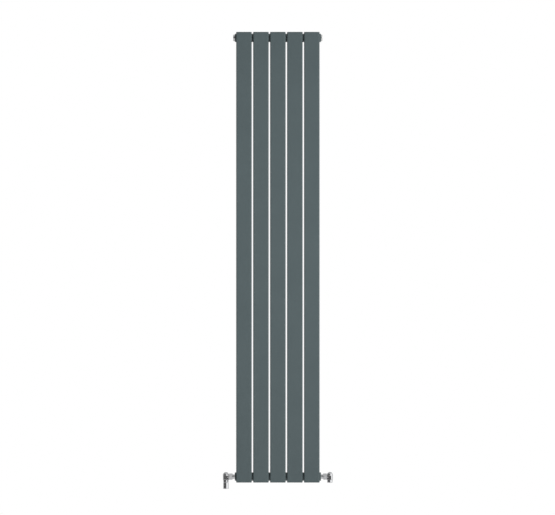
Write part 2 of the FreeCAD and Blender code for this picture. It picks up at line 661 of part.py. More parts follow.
class Valve:
    """One angle valve. Its pieces' own X axis points out of the radiator, and Z up its spindle."""

    def __init__(self, name, sign_x):
        self.name, self.sign_x = name, sign_x

    def label(self, piece):
        return f"{self.name}_{piece}"

    def put(self, piece, height="0"):
        """Moves a piece drawn at the valve's axis to its place in the row."""
        degrees = 180 if self.sign_x == "-" else 0
        return place(piece, f"{self.sign_x}({HEADER_END} + valve_offset)", "-header_to_wall",
                     f"-{HEADER_Z} + {height}", Vector(0, 0, 1), degrees)

    def turned(self, piece, axis, corners):
        return self.put(turned(self.label(piece), axis, corners))

    def body(self):
        inner_edge, outer_edge = "valve_radius - valve_bevel", "valve_radius"
        piece = self.turned("valve_body", "Z", [
            ("0", "-pipe_boss"), ("pipe_boss_radius", "-pipe_boss"), ("pipe_boss_radius", "-valve_bottom"),
            (inner_edge, "-valve_bottom"), (outer_edge, "valve_bevel - valve_bottom"),
            (outer_edge, "valve_top - valve_bevel"), (inner_edge, "valve_top"), ("0", "valve_top"),
        ])
        turn(piece, "Revolution", "X", [
            ("-union_face", "0"), ("-union_face", "union_radius - valve_bevel"),
            ("valve_bevel - union_face", "union_radius"), ("0", "union_radius"), ("0", "0"),
        ])
        clear_of_head, boss_top = "(valve_radius + head_clearance)", "(union_radius + run_out)"
        bore_out(piece, "Z", [
            ("0", "valve_top"), (clear_of_head, "valve_top"), (clear_of_head, boss_top), ("0", boss_top),
        ])
        flats_height = "(valve_flats_top + valve_bottom)"
        mill_flats(piece, "valve_flats", "valve_radius", "valve_flats_top", flats_height)
        sides = new_sketch(piece, "XZ")
        rounded_rectangle(sides, "valve_flats_end + valve_flats_corner", flats_height, "valve_flats_corner",
                          "(valve_flats_corner - valve_flats_end) / 2",
                          "(valve_flats_top - valve_bottom) / 2")
        pad(piece, sides, "valve_flats", both_ways=True)
        low, high = "-(pipe_boss + run_out)", "(valve_top + run_out)"
        bore_out(piece, "Z", [
            ("0", low), ("pipe_fit", low), ("pipe_fit", "-pipe_stop"), ("seat_radius", "-pipe_stop"),
            ("seat_radius", "-seat_depth"), ("chamber_radius", "-seat_depth"), ("chamber_radius", high),
            ("0", high),
        ])
        mouth = "-(union_face + run_out)"
        bore_out(piece, "X", [(mouth, "0"), (mouth, "tail_bore"), ("0", "tail_bore"), ("0", "0")])

    def bonnet(self):
        """Screwed in the valve's top: it holds the spindle and guides the jumper's hexagon."""
        hex_top = "(valve_top + bonnet_hex)"
        corner = "bonnet_flats / sqrt(3)"
        piece = self.turned("bonnet", "Z", [
            ("0", "bonnet_bottom"), ("chamber_radius - fit_gap", "bonnet_bottom"),
            ("chamber_radius - fit_gap", "valve_top"), (corner, "valve_top"), (corner, hex_top),
            ("neck_radius", hex_top), ("neck_radius", "neck_top"), ("0", "neck_top"),
        ])
        mill_hexagon(piece, "XY", "bonnet_flats", hex_top, "bonnet_hex")
        guide = new_sketch(piece, "XY", "guide_top")
        hexagon(guide, "guide_flats")
        pocket(piece, guide, "guide_top")
        way = "(spindle_radius + fit_gap)"
        gland_top = "(gland_bottom + gland_height)"
        low, high = "(guide_top - run_out)", "(neck_top + run_out)"
        bore_out(piece, "Z", [
            ("0", low), (way, low), (way, "gland_bottom"), ("gland_radius", "gland_bottom"),
            ("gland_radius", gland_top), (way, gland_top), (way, high), ("0", high),
        ])

    def spindle_seal(self):
        cord = "((gland_radius - spindle_radius - fit_gap) / 2)"
        piece = torus(self.label("spindle_seal"), "(gland_radius + spindle_radius) / 2", cord)
        self.put(piece, "gland_bottom + gland_height / 2")

    def spindle(self, tapped):
        """Turns in the bonnet without rising. Its lower end has the left-hand thread."""
        collar_bottom = "(guide_top - spindle_collar_height - 2 * fit_gap)"
        collar_top = "(guide_top - 2 * fit_gap)"
        piece = self.turned("spindle", "Z", [
            ("0", "-spindle_bottom"), ("spindle_thread", "-spindle_bottom"),
            ("spindle_thread", collar_bottom), ("spindle_collar", collar_bottom),
            ("spindle_collar", collar_top), ("spindle_radius", collar_top),
            ("spindle_radius", "neck_top"), ("0", "neck_top"),
        ])
        sketch = new_sketch(piece, "XY", "neck_top")
        square(sketch, "spindle_square")
        pad(piece, sketch, "spindle_top - neck_top")
        if tapped:
            hole = "(wheel_screw_shank + fit_gap)"
            low, high = "(wheel_screw_end - run_out)", "(spindle_top + run_out)"
            bore_out(piece, "Z", [("0", low), (hole, low), (hole, high), ("0", high)])

    def jumper(self):
        """The nut that the spindle raises and lowers. Its hexagon keeps it from turning."""
        disc_top = "(jumper_disc - jumper_bottom)"
        piece = self.turned("jumper", "Z", [
            ("0", "-jumper_bottom"), ("jumper_radius", "-jumper_bottom"), ("jumper_radius", disc_top),
            ("0", disc_top),
        ])
        stem = new_sketch(piece, "XY", disc_top)
        hexagon(stem, "jumper_flats")
        pad(piece, stem, f"jumper_top - {disc_top}")
        thread = "(spindle_thread + fit_gap)"
        bore_out(piece, "Z", [
            ("0", "-jumper_bore_end"), (thread, "-jumper_bore_end"), (thread, "jumper_top + run_out"),
            ("0", "jumper_top + run_out"),
        ])

    def jumper_washer(self):
        bottom = "-(jumper_bottom + washer_thickness)"
        self.turned("jumper_washer", "Z", [
            ("0", bottom), ("washer_radius", bottom), ("washer_radius", "-jumper_bottom"),
            ("0", "-jumper_bottom"),
        ])

    def head_blank(self, piece):
        """The domed head's outside, which the hand wheel and the lockshield cap share."""
        body = self.turned(piece, "Z", [
            ("0", "cap_bottom"), ("cap_radius", "cap_bottom"), ("cap_shoulder_radius", "cap_shoulder"),
            ("cap_crown_radius", "cap_top"), ("0", "cap_top"),
        ])
        doc.recompute()
        shoulder = rim_at(body, "Z", "cap_shoulder", "cap_shoulder_radius")
        crown = rim_at(body, "Z", "cap_top", "cap_crown_radius")
        round_edges(body, "cap_round", lambda edge: shoulder(edge) or crown(edge))
        return body

    def hand_wheel(self):
        """Turns the spindle by its square."""
        body = self.head_blank("hand_wheel")
        bore_out(body, "Z", [
            ("0", "cap_bottom - run_out"), ("cap_cavity", "cap_bottom - run_out"),
            ("cap_cavity", "cap_cavity_top"), ("cap_roof_radius", "cap_roof"), ("hub_radius", "cap_roof"),
            ("hub_radius", "hub_bottom"), ("0", "hub_bottom"),
        ])
        hole = new_sketch(body, "XY", "cap_roof")
        square(hole, "spindle_square + 2 * fit_gap")
        pocket(body, hole, "cap_roof - hub_bottom + run_out")
        head, shank = "(wheel_screw_head + running_gap)", "(wheel_screw_shank + fit_gap)"
        seat, high = "(wheel_screw_seat - fit_gap)", "(cap_top + run_out)"
        bore_out(body, "Z", [
            ("0", "hub_bottom"), (shank, "hub_bottom"), (shank, seat), (head, seat), (head, high),
            ("0", high),
        ])

    def wheel_screw(self):
        body = self.turned("wheel_screw", "Z", [
            ("0", "wheel_screw_end"), ("wheel_screw_shank", "wheel_screw_end"),
            ("wheel_screw_shank", "wheel_screw_seat"), ("wheel_screw_head", "wheel_screw_seat"),
            ("wheel_screw_head", "wheel_screw_top"), ("0", "wheel_screw_top"),
        ])
        key = new_sketch(body, "XY", "wheel_screw_top")
        hexagon(key, "wheel_screw_key")
        pocket(body, key, "wheel_screw_key_depth")

    def lockshield_cap(self):
        """Pulls off the bonnet's hexagon, so that a key can turn the spindle."""
        body = self.head_blank("lockshield_cap")
        grip_top = "(cap_bottom + cap_grip)"
        bore_out(body, "Z", [
            ("0", grip_top), ("cap_cavity", grip_top), ("cap_cavity", "cap_cavity_top"),
            ("cap_roof_radius", "cap_roof"), ("0", "cap_roof"),
        ])
        grip = new_sketch(body, "XY", grip_top)
        hexagon(grip, "bonnet_flats + 4 * fit_gap")
        pocket(body, grip, "cap_grip + run_out")

    def union_nut(self):
        corner, bevelled = "union_flats / sqrt(3)", "(union_flats / sqrt(3) - union_bevel)"
        thread, lip = "(union_radius + fit_gap)", "(tail_shank + union_lip_gap)"
        lip_face = "(union_lip - union_end)"
        piece = self.turned("union_nut", "X", [
            ("-union_end", lip), ("-union_end", bevelled), ("union_bevel - union_end", corner),
            ("-(union_start + union_bevel)", corner), ("-union_start", bevelled), ("-union_start", thread),
            (lip_face, thread), (lip_face, lip),
        ])
        mill_hexagon(piece, "YZ", "union_flats", "-union_start", "union_end - union_start", True)

    def tail(self):
        """Screwed in the header's socket, and held against the valve by the union nut."""
        end, mouth = "-(valve_offset + tail_reach)", "-(valve_offset + face_gap)"
        groove_low = "-(valve_offset + tail_groove_at + tail_cord + face_gap)"
        groove_high = "-(valve_offset + tail_groove_at - tail_cord - face_gap)"
        collar_back, face = "(union_lip - union_end + fit_gap)", "-(union_face + fit_gap)"
        piece = self.turned("tail", "X", [
            (end, "tail_bore"), (end, "plug_thread - thread_lead"), (f"{end} + thread_lead", "plug_thread"),
            (groove_low, "plug_thread"), (groove_low, "tail_groove"), (groove_high, "tail_groove"),
            (groove_high, "plug_thread"), (mouth, "plug_thread"), (mouth, "tail_shank"),
            (collar_back, "tail_shank"), (collar_back, "tail_collar"), (face, "tail_collar"),
            (face, "tail_bore"),
        ])
        key = new_sketch(piece, "YZ", face)
        hexagon(key, "tail_key")
        pocket(piece, key, "tail_key_depth")

    def tail_seal(self):
        piece = torus(self.label("tail_seal"), "tail_groove + tail_cord", "tail_cord")
        place(piece, f"{self.sign_x}({HEADER_END} - tail_groove_at)", "-header_to_wall", f"-{HEADER_Z}",
              Vector(0, 1, 0), 90)

    def pipe_nut(self):
        """Round, with two spanner flats at its lower end."""
        bevelled = "(nut_radius - nut_edge)"
        thread, lip_face = "(pipe_boss_radius + fit_gap)", "(nut_lip - nut_bottom)"
        piece = self.turned("pipe_nut", "Z", [
            ("pipe_fit", "-nut_bottom"), (bevelled, "-nut_bottom"), ("nut_radius", "nut_edge - nut_bottom"),
            ("nut_radius", "-(nut_top + nut_edge)"), (bevelled, "-nut_top"), (thread, "-nut_top"),
            (thread, lip_face), ("pipe_fit", lip_face),
        ])
        mill_flats(piece, "nut_flats", "nut_radius", "nut_flats_height - nut_bottom", "nut_flats_height",
                   sideways=True)

    def olive(self):
        top, bottom = "-(pipe_boss + fit_gap)", "(nut_lip - nut_bottom + 2 * fit_gap)"
        end_radius = "(olive_radius - olive_bevel)"
        self.turned("olive", "Z", [
            ("pipe_fit", bottom), (end_radius, bottom), ("olive_radius", f"{bottom} + olive_taper"),
            ("olive_radius", f"{top} - olive_taper"), (end_radius, top), ("pipe_fit", top),
        ])

    def pipe(self):
        top = "-(pipe_stop + fit_gap)"
        bottom = "-(pipe_stop + pipe_length)"
        self.turned("pipe", "Z", [
            ("pipe_bore", bottom), ("pipe_radius", bottom), ("pipe_radius", top), ("pipe_bore", top),
        ])

    def pipe_sleeve(self):
        """A chrome cover round the pipe, turned in at its lower end."""
        top, bottom = "-(nut_bottom + face_gap)", "-(pipe_stop + pipe_length)"
        inside, rim = "(sleeve_radius - sleeve_wall)", "(pipe_radius + fit_gap)"
        self.turned("pipe_sleeve", "Z", [
            (rim, bottom), ("sleeve_radius", bottom), ("sleeve_radius", top), (inside, top),
            (inside, f"{bottom} + sleeve_wall"), (rim, f"{bottom} + sleeve_wall"),
        ])

    def common_pieces(self, tapped):
        self.body()
        self.bonnet()
        self.spindle(tapped)
        self.spindle_seal()
        self.jumper()
        self.jumper_washer()
        self.union_nut()
        self.tail()
        self.tail_seal()
        self.pipe_nut()
        self.olive()


def valves():
    flow = Valve("flow", "-")
    flow.common_pieces(tapped=True)
    flow.hand_wheel()
    flow.wheel_screw()
    flow.pipe()
    flow.pipe_sleeve()
    back = Valve("return", "+")
    back.common_pieces(tapped=False)
    back.lockshield_cap()


# ---------------------------------------------------------------- wall brackets


def wall_bracket(label, sign_x, sign_z):
    """A plate with two cheeks that take the radiator's lug. The bottom ones are turned half round."""
    body = new_body(label)
    plate = new_sketch(body, "XZ")
    rounded_rectangle(plate, "bracket_width", "bracket_above + bracket_below", "bracket_corner",
                      "0", "(bracket_above - bracket_below) / 2")
    pad(body, plate, "bracket_sheet")
    cheek = new_sketch(body, "YZ", "cheek_gap / 2")
    rectangle(cheek, "-cheek_reach", "-bracket_sheet / 2", "-cheek_half_height", "cheek_half_height")
    one = pad(body, cheek, "bracket_sheet")
    doc.recompute()
    other = body.newObject("PartDesign::Mirrored", "Mirrored")
    other.Originals = [one]
    other.MirrorPlane = (origin_feature(body, "YZ_Plane"), [""])
    body.Tip = other
    front = -value(body, "cheek_reach")
    round_edges(body, "cheek_corner", lambda edge: all(abs(v.Y - front) < CLOSE for v in edge.Vertexes)
                and abs(edge.Vertexes[0].Z - edge.Vertexes[-1].Z) < CLOSE)
    slot = new_sketch(body, "YZ")
    rounded_rectangle(slot, "slot_length", "slot_width", "slot_round", "-lock_screw_at", "0")
    pocket(body, slot, "bracket_width", both_ways=True)
    holes = new_sketch(body, "XZ")
    for drop in ("wall_hole_near", "wall_hole_far"):
        circle(holes, "wall_hole", "0", "-" + drop)
    pocket(body, holes, "4 * bracket_sheet", both_ways=True)
    place(body, f"{sign_x}{BRACKET_X}", "0", f"{sign_z}{HEADER_Z}", Vector(0, 1, 0),
          180 if sign_z == "-" else 0)


def lug(label, sign_x, sign_z):
    """The flat tab welded on a header's back, coped to the tube."""
    blank = doc.addObject("Part::Box", label + "_blank")
    bind(blank, "Length", "lug_thickness")
    bind(blank, "Width", "header_to_wall - lug_end")
    bind(blank, "Height", "2 * lug_half_height")
    place(blank, "-lug_thickness / 2", "-header_to_wall", "-lug_half_height")
    cutters = []
    for name, radius, away in (("header", "header_diameter / 2 + fit_gap", "header_to_wall"),
                               ("hole", "lock_hole", "lock_screw_at")):
        cutter = doc.addObject("Part::Cylinder", f"{label}_{name}")
        bind(cutter, "Radius", radius)
        bind(cutter, "Height", "4 * lug_thickness")
        place(cutter, "-2 * lug_thickness", "-" + away, "0", Vector(0, 1, 0), 90)
        cutters.append(cutter)
    tool = doc.addObject("Part::Fuse", label + "_cutters")
    tool.Base, tool.Tool = cutters
    piece = doc.addObject("Part::Cut", label)
    piece.Label = label
    piece.Base, piece.Tool = blank, tool
    pieces.append(piece)
    place(piece, f"{sign_x}{BRACKET_X}", "0", f"{sign_z}{HEADER_Z}")


def lock_fastener(label, start, length, bored):
    """One hexagon head or nut at each bracket, from start outwards along X."""
    body = new_body(label, several_solids=True)
    head = new_sketch(body, "YZ", start)
    hexagon(head, "lock_flats")
    if bored:
        circle(head, "lock_screw + fit_gap")
    pad(body, head, length)
    return body


def spread_over_brackets(body):
    repeat(body, "X", "2", "bracket_spread")
    repeat(body, "Z", "2", f"2 * {HEADER_Z}")
    place(body, f"-{BRACKET_X}", "-lock_screw_at", f"-{HEADER_Z}")


def lock_screws():
    cheek_face = "(cheek_gap / 2 + bracket_sheet)"
    body = lock_fastener("lock_screws", cheek_face, "lock_head", bored=False)
    shank = new_sketch(body, "YZ", cheek_face)
    circle(shank, "lock_screw")
    pad(body, shank, f"2 * {cheek_face} + lock_nut + lock_tail", reverse=True)
    spread_over_brackets(body)
    nuts = lock_fastener("lock_nuts", f"-({cheek_face} + lock_nut)", "lock_nut", bored=True)
    spread_over_brackets(nuts)


# ---------------------------------------------------------------- the whole radiator


def build():
    make_sheet()
    for number in range(1, DIMENSIONS["panel_count"][0] + 1):
        panel(number)
    end_plates("panel_top_plates", "+")
    end_plates("panel_bottom_plates", "-")
    for row, sign_z in (("top", "+"), ("bottom", "-")):
        header(f"{row}_header", sign_z)
        nipples(f"{row}_nipples", sign_z)
        for side, sign_x in (("left", "-"), ("right", "+")):
            end_socket(f"{row}_{side}_socket", sign_x, sign_z)
            lug(f"{row}_{side}_lug", sign_x, sign_z)
            wall_bracket(f"{row}_{side}_bracket", sign_x, sign_z)
    header_baffle()
    lock_screws()
    blanking_plug()
    plug_seal("blanking_plug_seal", "-")
    vent_plug()
    plug_seal("vent_plug_seal", "+")
    drain_collar()
    bleed_screw()
    bleed_tip()
    valves()


def write_parts():
    """Checks every object, then writes each piece's shape to its own STEP file."""
    doc.recompute()
    failed = [o.Label for o in doc.Objects if {"Invalid", "Error"} & set(o.State)]
    bad = [p.Label for p in pieces if p.Shape.isNull() or not p.Shape.isValid() or not p.Shape.Solids]
    if failed or bad:
        sys.exit(f"failed objects: {failed}; bad shapes: {bad}")
    os.makedirs("parts", exist_ok=True)
    for piece in pieces:
        piece.Shape.exportStep(f"parts/{piece.Label}.step")
        print(f"{piece.Label}: {len(piece.Shape.Solids)} solid(s), {piece.Shape.Volume:.1f} mm3")
    print(f"{len(pieces)} nodes")


build()
write_parts()
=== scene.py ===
# A vertical flat-panel radiator in anthracite powder coat, with chrome angle valves.
#
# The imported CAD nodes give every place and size. What can be seen is rebuilt here as fine meshes round
# those nodes, with rounded edges, weld beads, threads and grip ribs. The pieces sealed inside keep
# their CAD meshes. Profiles are in millimetres, in a local frame that a Place puts into the row frame.

import json
import math

import bmesh
import bpy
import numpy as np
from mathutils import Matrix, Vector
from mathutils.geometry import tessellate_polygon


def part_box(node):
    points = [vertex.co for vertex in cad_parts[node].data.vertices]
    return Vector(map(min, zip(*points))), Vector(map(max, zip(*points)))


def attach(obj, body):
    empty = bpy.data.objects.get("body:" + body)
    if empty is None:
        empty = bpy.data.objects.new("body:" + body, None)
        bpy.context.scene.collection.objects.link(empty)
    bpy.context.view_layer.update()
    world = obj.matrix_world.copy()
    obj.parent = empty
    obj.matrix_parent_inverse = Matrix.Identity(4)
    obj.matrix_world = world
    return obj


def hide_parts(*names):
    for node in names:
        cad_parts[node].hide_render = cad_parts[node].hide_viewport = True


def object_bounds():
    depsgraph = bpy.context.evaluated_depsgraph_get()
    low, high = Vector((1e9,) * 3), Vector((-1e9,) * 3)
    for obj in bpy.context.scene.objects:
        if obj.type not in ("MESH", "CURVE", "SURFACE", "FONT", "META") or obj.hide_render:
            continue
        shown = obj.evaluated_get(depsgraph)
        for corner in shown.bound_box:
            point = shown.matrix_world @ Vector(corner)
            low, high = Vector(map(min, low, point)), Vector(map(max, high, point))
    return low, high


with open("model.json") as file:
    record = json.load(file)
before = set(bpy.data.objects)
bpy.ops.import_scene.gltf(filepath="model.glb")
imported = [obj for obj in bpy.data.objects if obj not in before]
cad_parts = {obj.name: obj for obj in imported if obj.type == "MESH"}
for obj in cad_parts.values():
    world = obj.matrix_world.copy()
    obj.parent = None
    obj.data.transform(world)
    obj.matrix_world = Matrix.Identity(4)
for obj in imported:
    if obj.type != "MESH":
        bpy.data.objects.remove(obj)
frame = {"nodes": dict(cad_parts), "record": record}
cad_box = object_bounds()

MM = 0.001
FULL_TURN = 2 * math.pi
SMOOTH = 128  # points round a turned piece
FIT = 0.05  # millimetres between fitted pieces
CREASE = math.radians(32)  # edges sharper than this stay crisp
CHAMFER_SLOPE = math.tan(math.radians(30))  # how steeply a nut's chamfer cuts its corners

ROOT = "radiator"
ROWS = ("top", "bottom")
SIDES = ("left", "right")
PANELS = sorted(node for node in frame["nodes"] if node.removeprefix("panel_").isdigit())


# ---- local frames


class Place:
    """A local frame in millimetres. On the radiator's left side it is turned half round about Z."""

    def __init__(self, origin, left=False):
        turn = Matrix.Rotation(math.pi if left else 0, 4, "Z")
        self.matrix = Matrix.Translation(Vector(origin)) @ turn @ Matrix.Scale(MM, 4)

    def box(self, node):
        """The node's lowest and highest corners in this frame."""
        ends = [self.matrix.inverted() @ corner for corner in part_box(node)]
        return Vector(map(min, *ends)), Vector(map(max, *ends))


def middle(node):
    low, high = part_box(node)
    return (low + high) / 2


def linked(name, data):
    """A new object in the scene with that mesh, light or camera."""
    obj = bpy.data.objects.new(name, data)
    bpy.context.scene.collection.objects.link(obj)
    return obj


def header_end(row, side):
    """The frame at a header's end face, with X out of the radiator along the header's axis."""
    low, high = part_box(f"{row}_{side}_socket")
    centre = (low + high) / 2
    face = low.x if side == "left" else high.x
    return Place((face, centre.y, centre.z), side == "left")


# ---- outlines


class Polygon:
    """A regular polygon with rounded corners, as a radius at each of a set of angles."""

    def __init__(self, sides, flats, corner, corner_first=False):
        self.apothem, self.corner, self.half = flats / 2, corner, math.pi / sides
        self.start = self.half if corner_first else 0
        # How far from a side's middle, as an angle, its straight part goes.
        self.edge = math.atan((self.apothem - corner) * math.tan(self.half) / self.apothem)
        along_side, along_corner = 10, 4
        side = np.linspace(-self.edge, self.edge, along_side)
        arc = np.linspace(self.edge, 2 * self.half - self.edge, along_corner + 2)[1:-1]
        one = np.concatenate([side, arc]) + self.start
        self.angles = np.concatenate([one + 2 * self.half * i for i in range(sides)])

    def radius(self, angles=None):
        """The outline's radius at these angles, or at its own."""
        angles = self.angles if angles is None else angles
        off_side = (angles - self.start + self.half) % (2 * self.half) - self.half
        centre = (self.apothem - self.corner) / math.cos(self.half)
        off_corner = self.half - np.abs(off_side)
        arc = centre * np.cos(off_corner)
        arc += np.sqrt(np.maximum(self.corner**2 - (centre * np.sin(off_corner)) ** 2, 0))
        return np.where(np.abs(off_side) <= self.edge, self.apothem / np.cos(off_side), arc)


def round_angles(count=SMOOTH):
    return np.arange(count) * FULL_TURN / count


def soften(profile, rounding, closed=False):
    """Rounds a profile's corners with arcs, each starting that far from its corner.

    A point is (along, radius) or (along, radius, its own rounding), and its along and radius are numbers
    or one number for each angle. Returns a list of (along, radius).
    """
    points = [np.array(np.broadcast_arrays(*p[:2]), float) for p in profile]
    sizes = [p[2] if len(p) > 2 else rounding for p in profile]
    count = len(points)
    wide = max(p.shape[1] if p.ndim > 1 else 1 for p in points)
    points = [np.broadcast_to(p.reshape(2, -1), (2, wide)) for p in points]
    result = []
    for i, (corner, size) in enumerate(zip(points, sizes)):
        if size <= 0 or (not closed and i in (0, count - 1)):
            result.append(corner)
            continue
        legs = [points[i - 1] - corner, points[(i + 1) % count] - corner]
        lengths = [np.maximum(np.linalg.norm(leg, axis=0), 1e-9) for leg in legs]
        reach = [leg * np.minimum(size / length, 0.48) for leg, length in zip(legs, lengths)]
        bend = np.arccos(np.clip(-(legs[0] * legs[1]).sum(0) / (lengths[0] * lengths[1]), -1, 1))
        bend = np.maximum(bend, 1e-3)
        handle = 1 - 4 / 3 * np.tan(bend / 4) / np.tan(bend / 2)
        steps = 4 if size < 1 else 13
        for t in np.linspace(0, 1, steps):
            near_before = (1 - t) ** 3 + 3 * (1 - t) ** 2 * t * handle
            near_after = t**3 + 3 * (1 - t) * t**2 * handle
            result.append(corner + reach[0] * near_before + reach[1] * near_after)
    return result


def bounded(low_u, high_u, low_v, high_v, corners, steps=6):
    """An outline function for a rectangle with rounded corners.

    The function takes how far to draw the outline in, and gives its points. Negative draws it out.
    """
    signs = [(1, -1), (1, 1), (-1, 1), (-1, -1)]

    def outline(inset):
        points = []
        for (right, up), corner, quarter in zip(signs, corners, (3, 0, 1, 2)):
            r = max(corner - inset, 0.02)
            u = (high_u - inset - r) if right > 0 else (low_u + inset + r)
            v = (high_v - inset - r) if up > 0 else (low_v + inset + r)
            for t in np.linspace(0, math.pi / 2, steps + 1) + quarter * math.pi / 2:
                points.append((u + r * math.cos(t), v + r * math.sin(t)))
        return np.array(points)

    return outline


def disc(u, v, radius):
    """An outline function for a circle, as bounded gives for a rectangle."""
    around = round_angles(48)
    unit = np.stack([np.cos(around), np.sin(around)], 1)
    return lambda inset: np.array([u, v]) + (radius - inset) * unit


# ---- meshes


def skin(rings, closed=False):
    """Vertices and faces over a stack of rings of points. A ring of one point ends in a fan."""
    starts = np.cumsum([0] + [len(r) for r in rings])
    faces = []
    pairs = [(i, i + 1) for i in range(len(rings) - 1)] + ([(len(rings) - 1, 0)] if closed else [])
    for a, b in pairs:
        size_a, size_b = len(rings[a]), len(rings[b])
        for i in range(max(size_a, size_b)):
            face = [starts[a] + i % size_a, starts[a] + (i + 1) % size_a]
            face += [starts[b] + (i + 1) % size_b, starts[b] + i % size_b]
            faces.append(tuple(dict.fromkeys(int(v) for v in face)))
    if not closed:
        for end in (0, len(rings) - 1):
            if len(rings[end]) > 1:
                faces.append(tuple(range(int(starts[end]), int(starts[end + 1]))))
    return np.concatenate(rings), faces


def turned(profile, axis="x", rounding=0.3, angles=None, closed=False):
    """A piece turned about an axis. Its profile is (along, radius) points, as soften takes them."""
    angles = round_angles() if angles is None else angles
    rings = []
    for along, radius in soften(profile, rounding, closed):
        along, radius = (np.broadcast_to(part, angles.shape) for part in (along, radius))
        if radius.max() < 1e-6:
            angle, along, radius = angles[:1], along[:1], radius[:1]
        else:
            angle = angles
        points = [radius * np.cos(angle), radius * np.sin(angle)]
        points.insert("xyz".index(axis), along)
        rings.append(np.stack(points, 1))
    return skin(rings, closed)


def thread(low, high, crest, depth):
    """Profile points of a 1 mm pitch thread from low to high, each with a radius for every angle."""
    pitch, steps = 1.0, 10
    around = round_angles()
    points = []
    for along in np.arange(low, high, pitch / steps):
        phase = (along / pitch - around / FULL_TURN) % 1
        groove = np.clip(2.2 * np.abs(phase - 0.5) * 2 - 1.1, 0, 1)
        ends = min(1, (along - low) / pitch, (high - along) / pitch)
        points.append((along, crest - depth * (groove * ends + (1 - ends)), 0))
    return points


def plate(outer, holes, low, high, edge, to_point):
    """A flat sheet with rounded edges and holes, between two heights.

    outer and holes are outline functions, and to_point puts (u, v, height) arrays in the local frame.
    """
    outlines = [(outer, 1)] + [(hole, -1) for hole in holes]
    heights = [(low, edge), (low + 0.3 * edge, 0.3 * edge), (low + edge, 0),
               (high - edge, 0), (high - 0.3 * edge, 0.3 * edge), (high, edge)]
    verts, faces, rims = [], [], {0: [], len(heights) - 1: []}
    for outline, sense in outlines:
        loops = [outline(sense * inset) for _, inset in heights]
        rings = [to_point(*loop.T, np.full(len(loop), height)) for loop, (height, _) in zip(loops, heights)]
        start = sum(len(v) for v in verts)
        ring_verts, ring_faces = skin(rings)
        verts.append(ring_verts)
        faces += [tuple(i + start for i in f) for f in ring_faces[:-2]]
        for level in rims:
            first = start + level * len(rings[0])
            rims[level].append((loops[level], range(first, first + len(rings[0]))))
    for loops in rims.values():
        index = [i for _, indices in loops for i in indices]
        flat = [[Vector((u, v, 0)) for u, v in loop] for loop, _ in loops]
        faces += [tuple(index[i] for i in triangle) for triangle in tessellate_polygon(flat)]
    return np.concatenate(verts), faces


def weld_bead(path, outward, size, ridges, seed):
    """An uneven bead along a path of points. outward is one direction across the path."""
    path = np.array(path)
    along = np.gradient(path, axis=0)
    along /= np.linalg.norm(along, axis=1)[:, None]
    out = np.array(outward, float) - (along @ np.array(outward, float))[:, None] * along
    out /= np.linalg.norm(out, axis=1)[:, None]
    side = np.cross(along, out)
    turn = round_angles(10)
    rings = [
        p + r * (np.cos(turn)[:, None] * o + np.sin(turn)[:, None] * s)
        for p, o, s, r in zip(path, out, side, size * ripple(len(path), ridges, seed))
    ]
    return skin(rings)


def ripple(count, ridges, seed):
    """A weld bead's unevenness: one size factor for each point along it."""
    t = np.arange(count) / count * FULL_TURN
    return 1 + 0.06 * np.sin(ridges * t + seed) + 0.05 * np.sin(3 * t + 2.1 * seed)


def moved(part, x=0.0, z=0.0, upended=False):
    """The same vertices and faces, moved. upended turns them half round about Y first."""
    verts, faces = part
    signs = (-1, 1, -1) if upended else (1, 1, 1)
    return verts * np.array(signs) + np.array([x, 0, z]), faces


def piece(name, parts, place, slot, node, body=ROOT, normals=None):
    """One mesh object from parts in a place's frame. It rides on body and stands for the CAD node."""
    verts, faces, start = [], [], 0
    for part_verts, part_faces in parts:
        verts.append(part_verts)
        faces += [tuple(i + start for i in f) for f in part_faces]
        start += len(part_verts)
    mesh = bpy.data.meshes.new(name)
    mesh.from_pydata(np.concatenate(verts).tolist(), [], faces)
    mesh.transform(place.matrix)
    fixed = bmesh.new()
    fixed.from_mesh(mesh)
    bmesh.ops.recalc_face_normals(fixed, faces=fixed.faces)
    fixed.to_mesh(mesh)
    fixed.free()
    mesh.shade_smooth()
    if normals is None:
        mesh.set_sharp_from_angle(angle=CREASE)
    obj = linked(name, mesh)
    if normals is None:
        weighted = obj.modifiers.new("Even shading", "WEIGHTED_NORMAL")
        weighted.keep_sharp = True
    else:
        turn = np.array(place.matrix.to_3x3().normalized())
        mesh.normals_split_custom_set_from_vertices((normals @ turn.T).tolist())
    mesh.materials.append(FINISHES[slot])
    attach(obj, body)
    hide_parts(node)
    return obj


# ---- blended solids


def smooth_max(a, b, reach):
    """The larger of two distances, blended where they are within reach of each other."""
    blend = np.maximum(reach - np.abs(a - b), 0) / reach
    return np.maximum(a, b) + blend**2 * reach / 4


def smooth_min(a, b, reach):
    return -smooth_max(-a, -b, reach)


def rod_distance(along, across, low, high, radius, edge):
    """Signed distance to a rod with rounded ends: along its axis and across it."""
    out = np.stack([across - (radius - edge), np.abs(along - (low + high) / 2) - ((high - low) / 2 - edge)])
    return np.linalg.norm(np.maximum(out, 0), axis=0) + np.minimum(out.max(0), 0) - edge


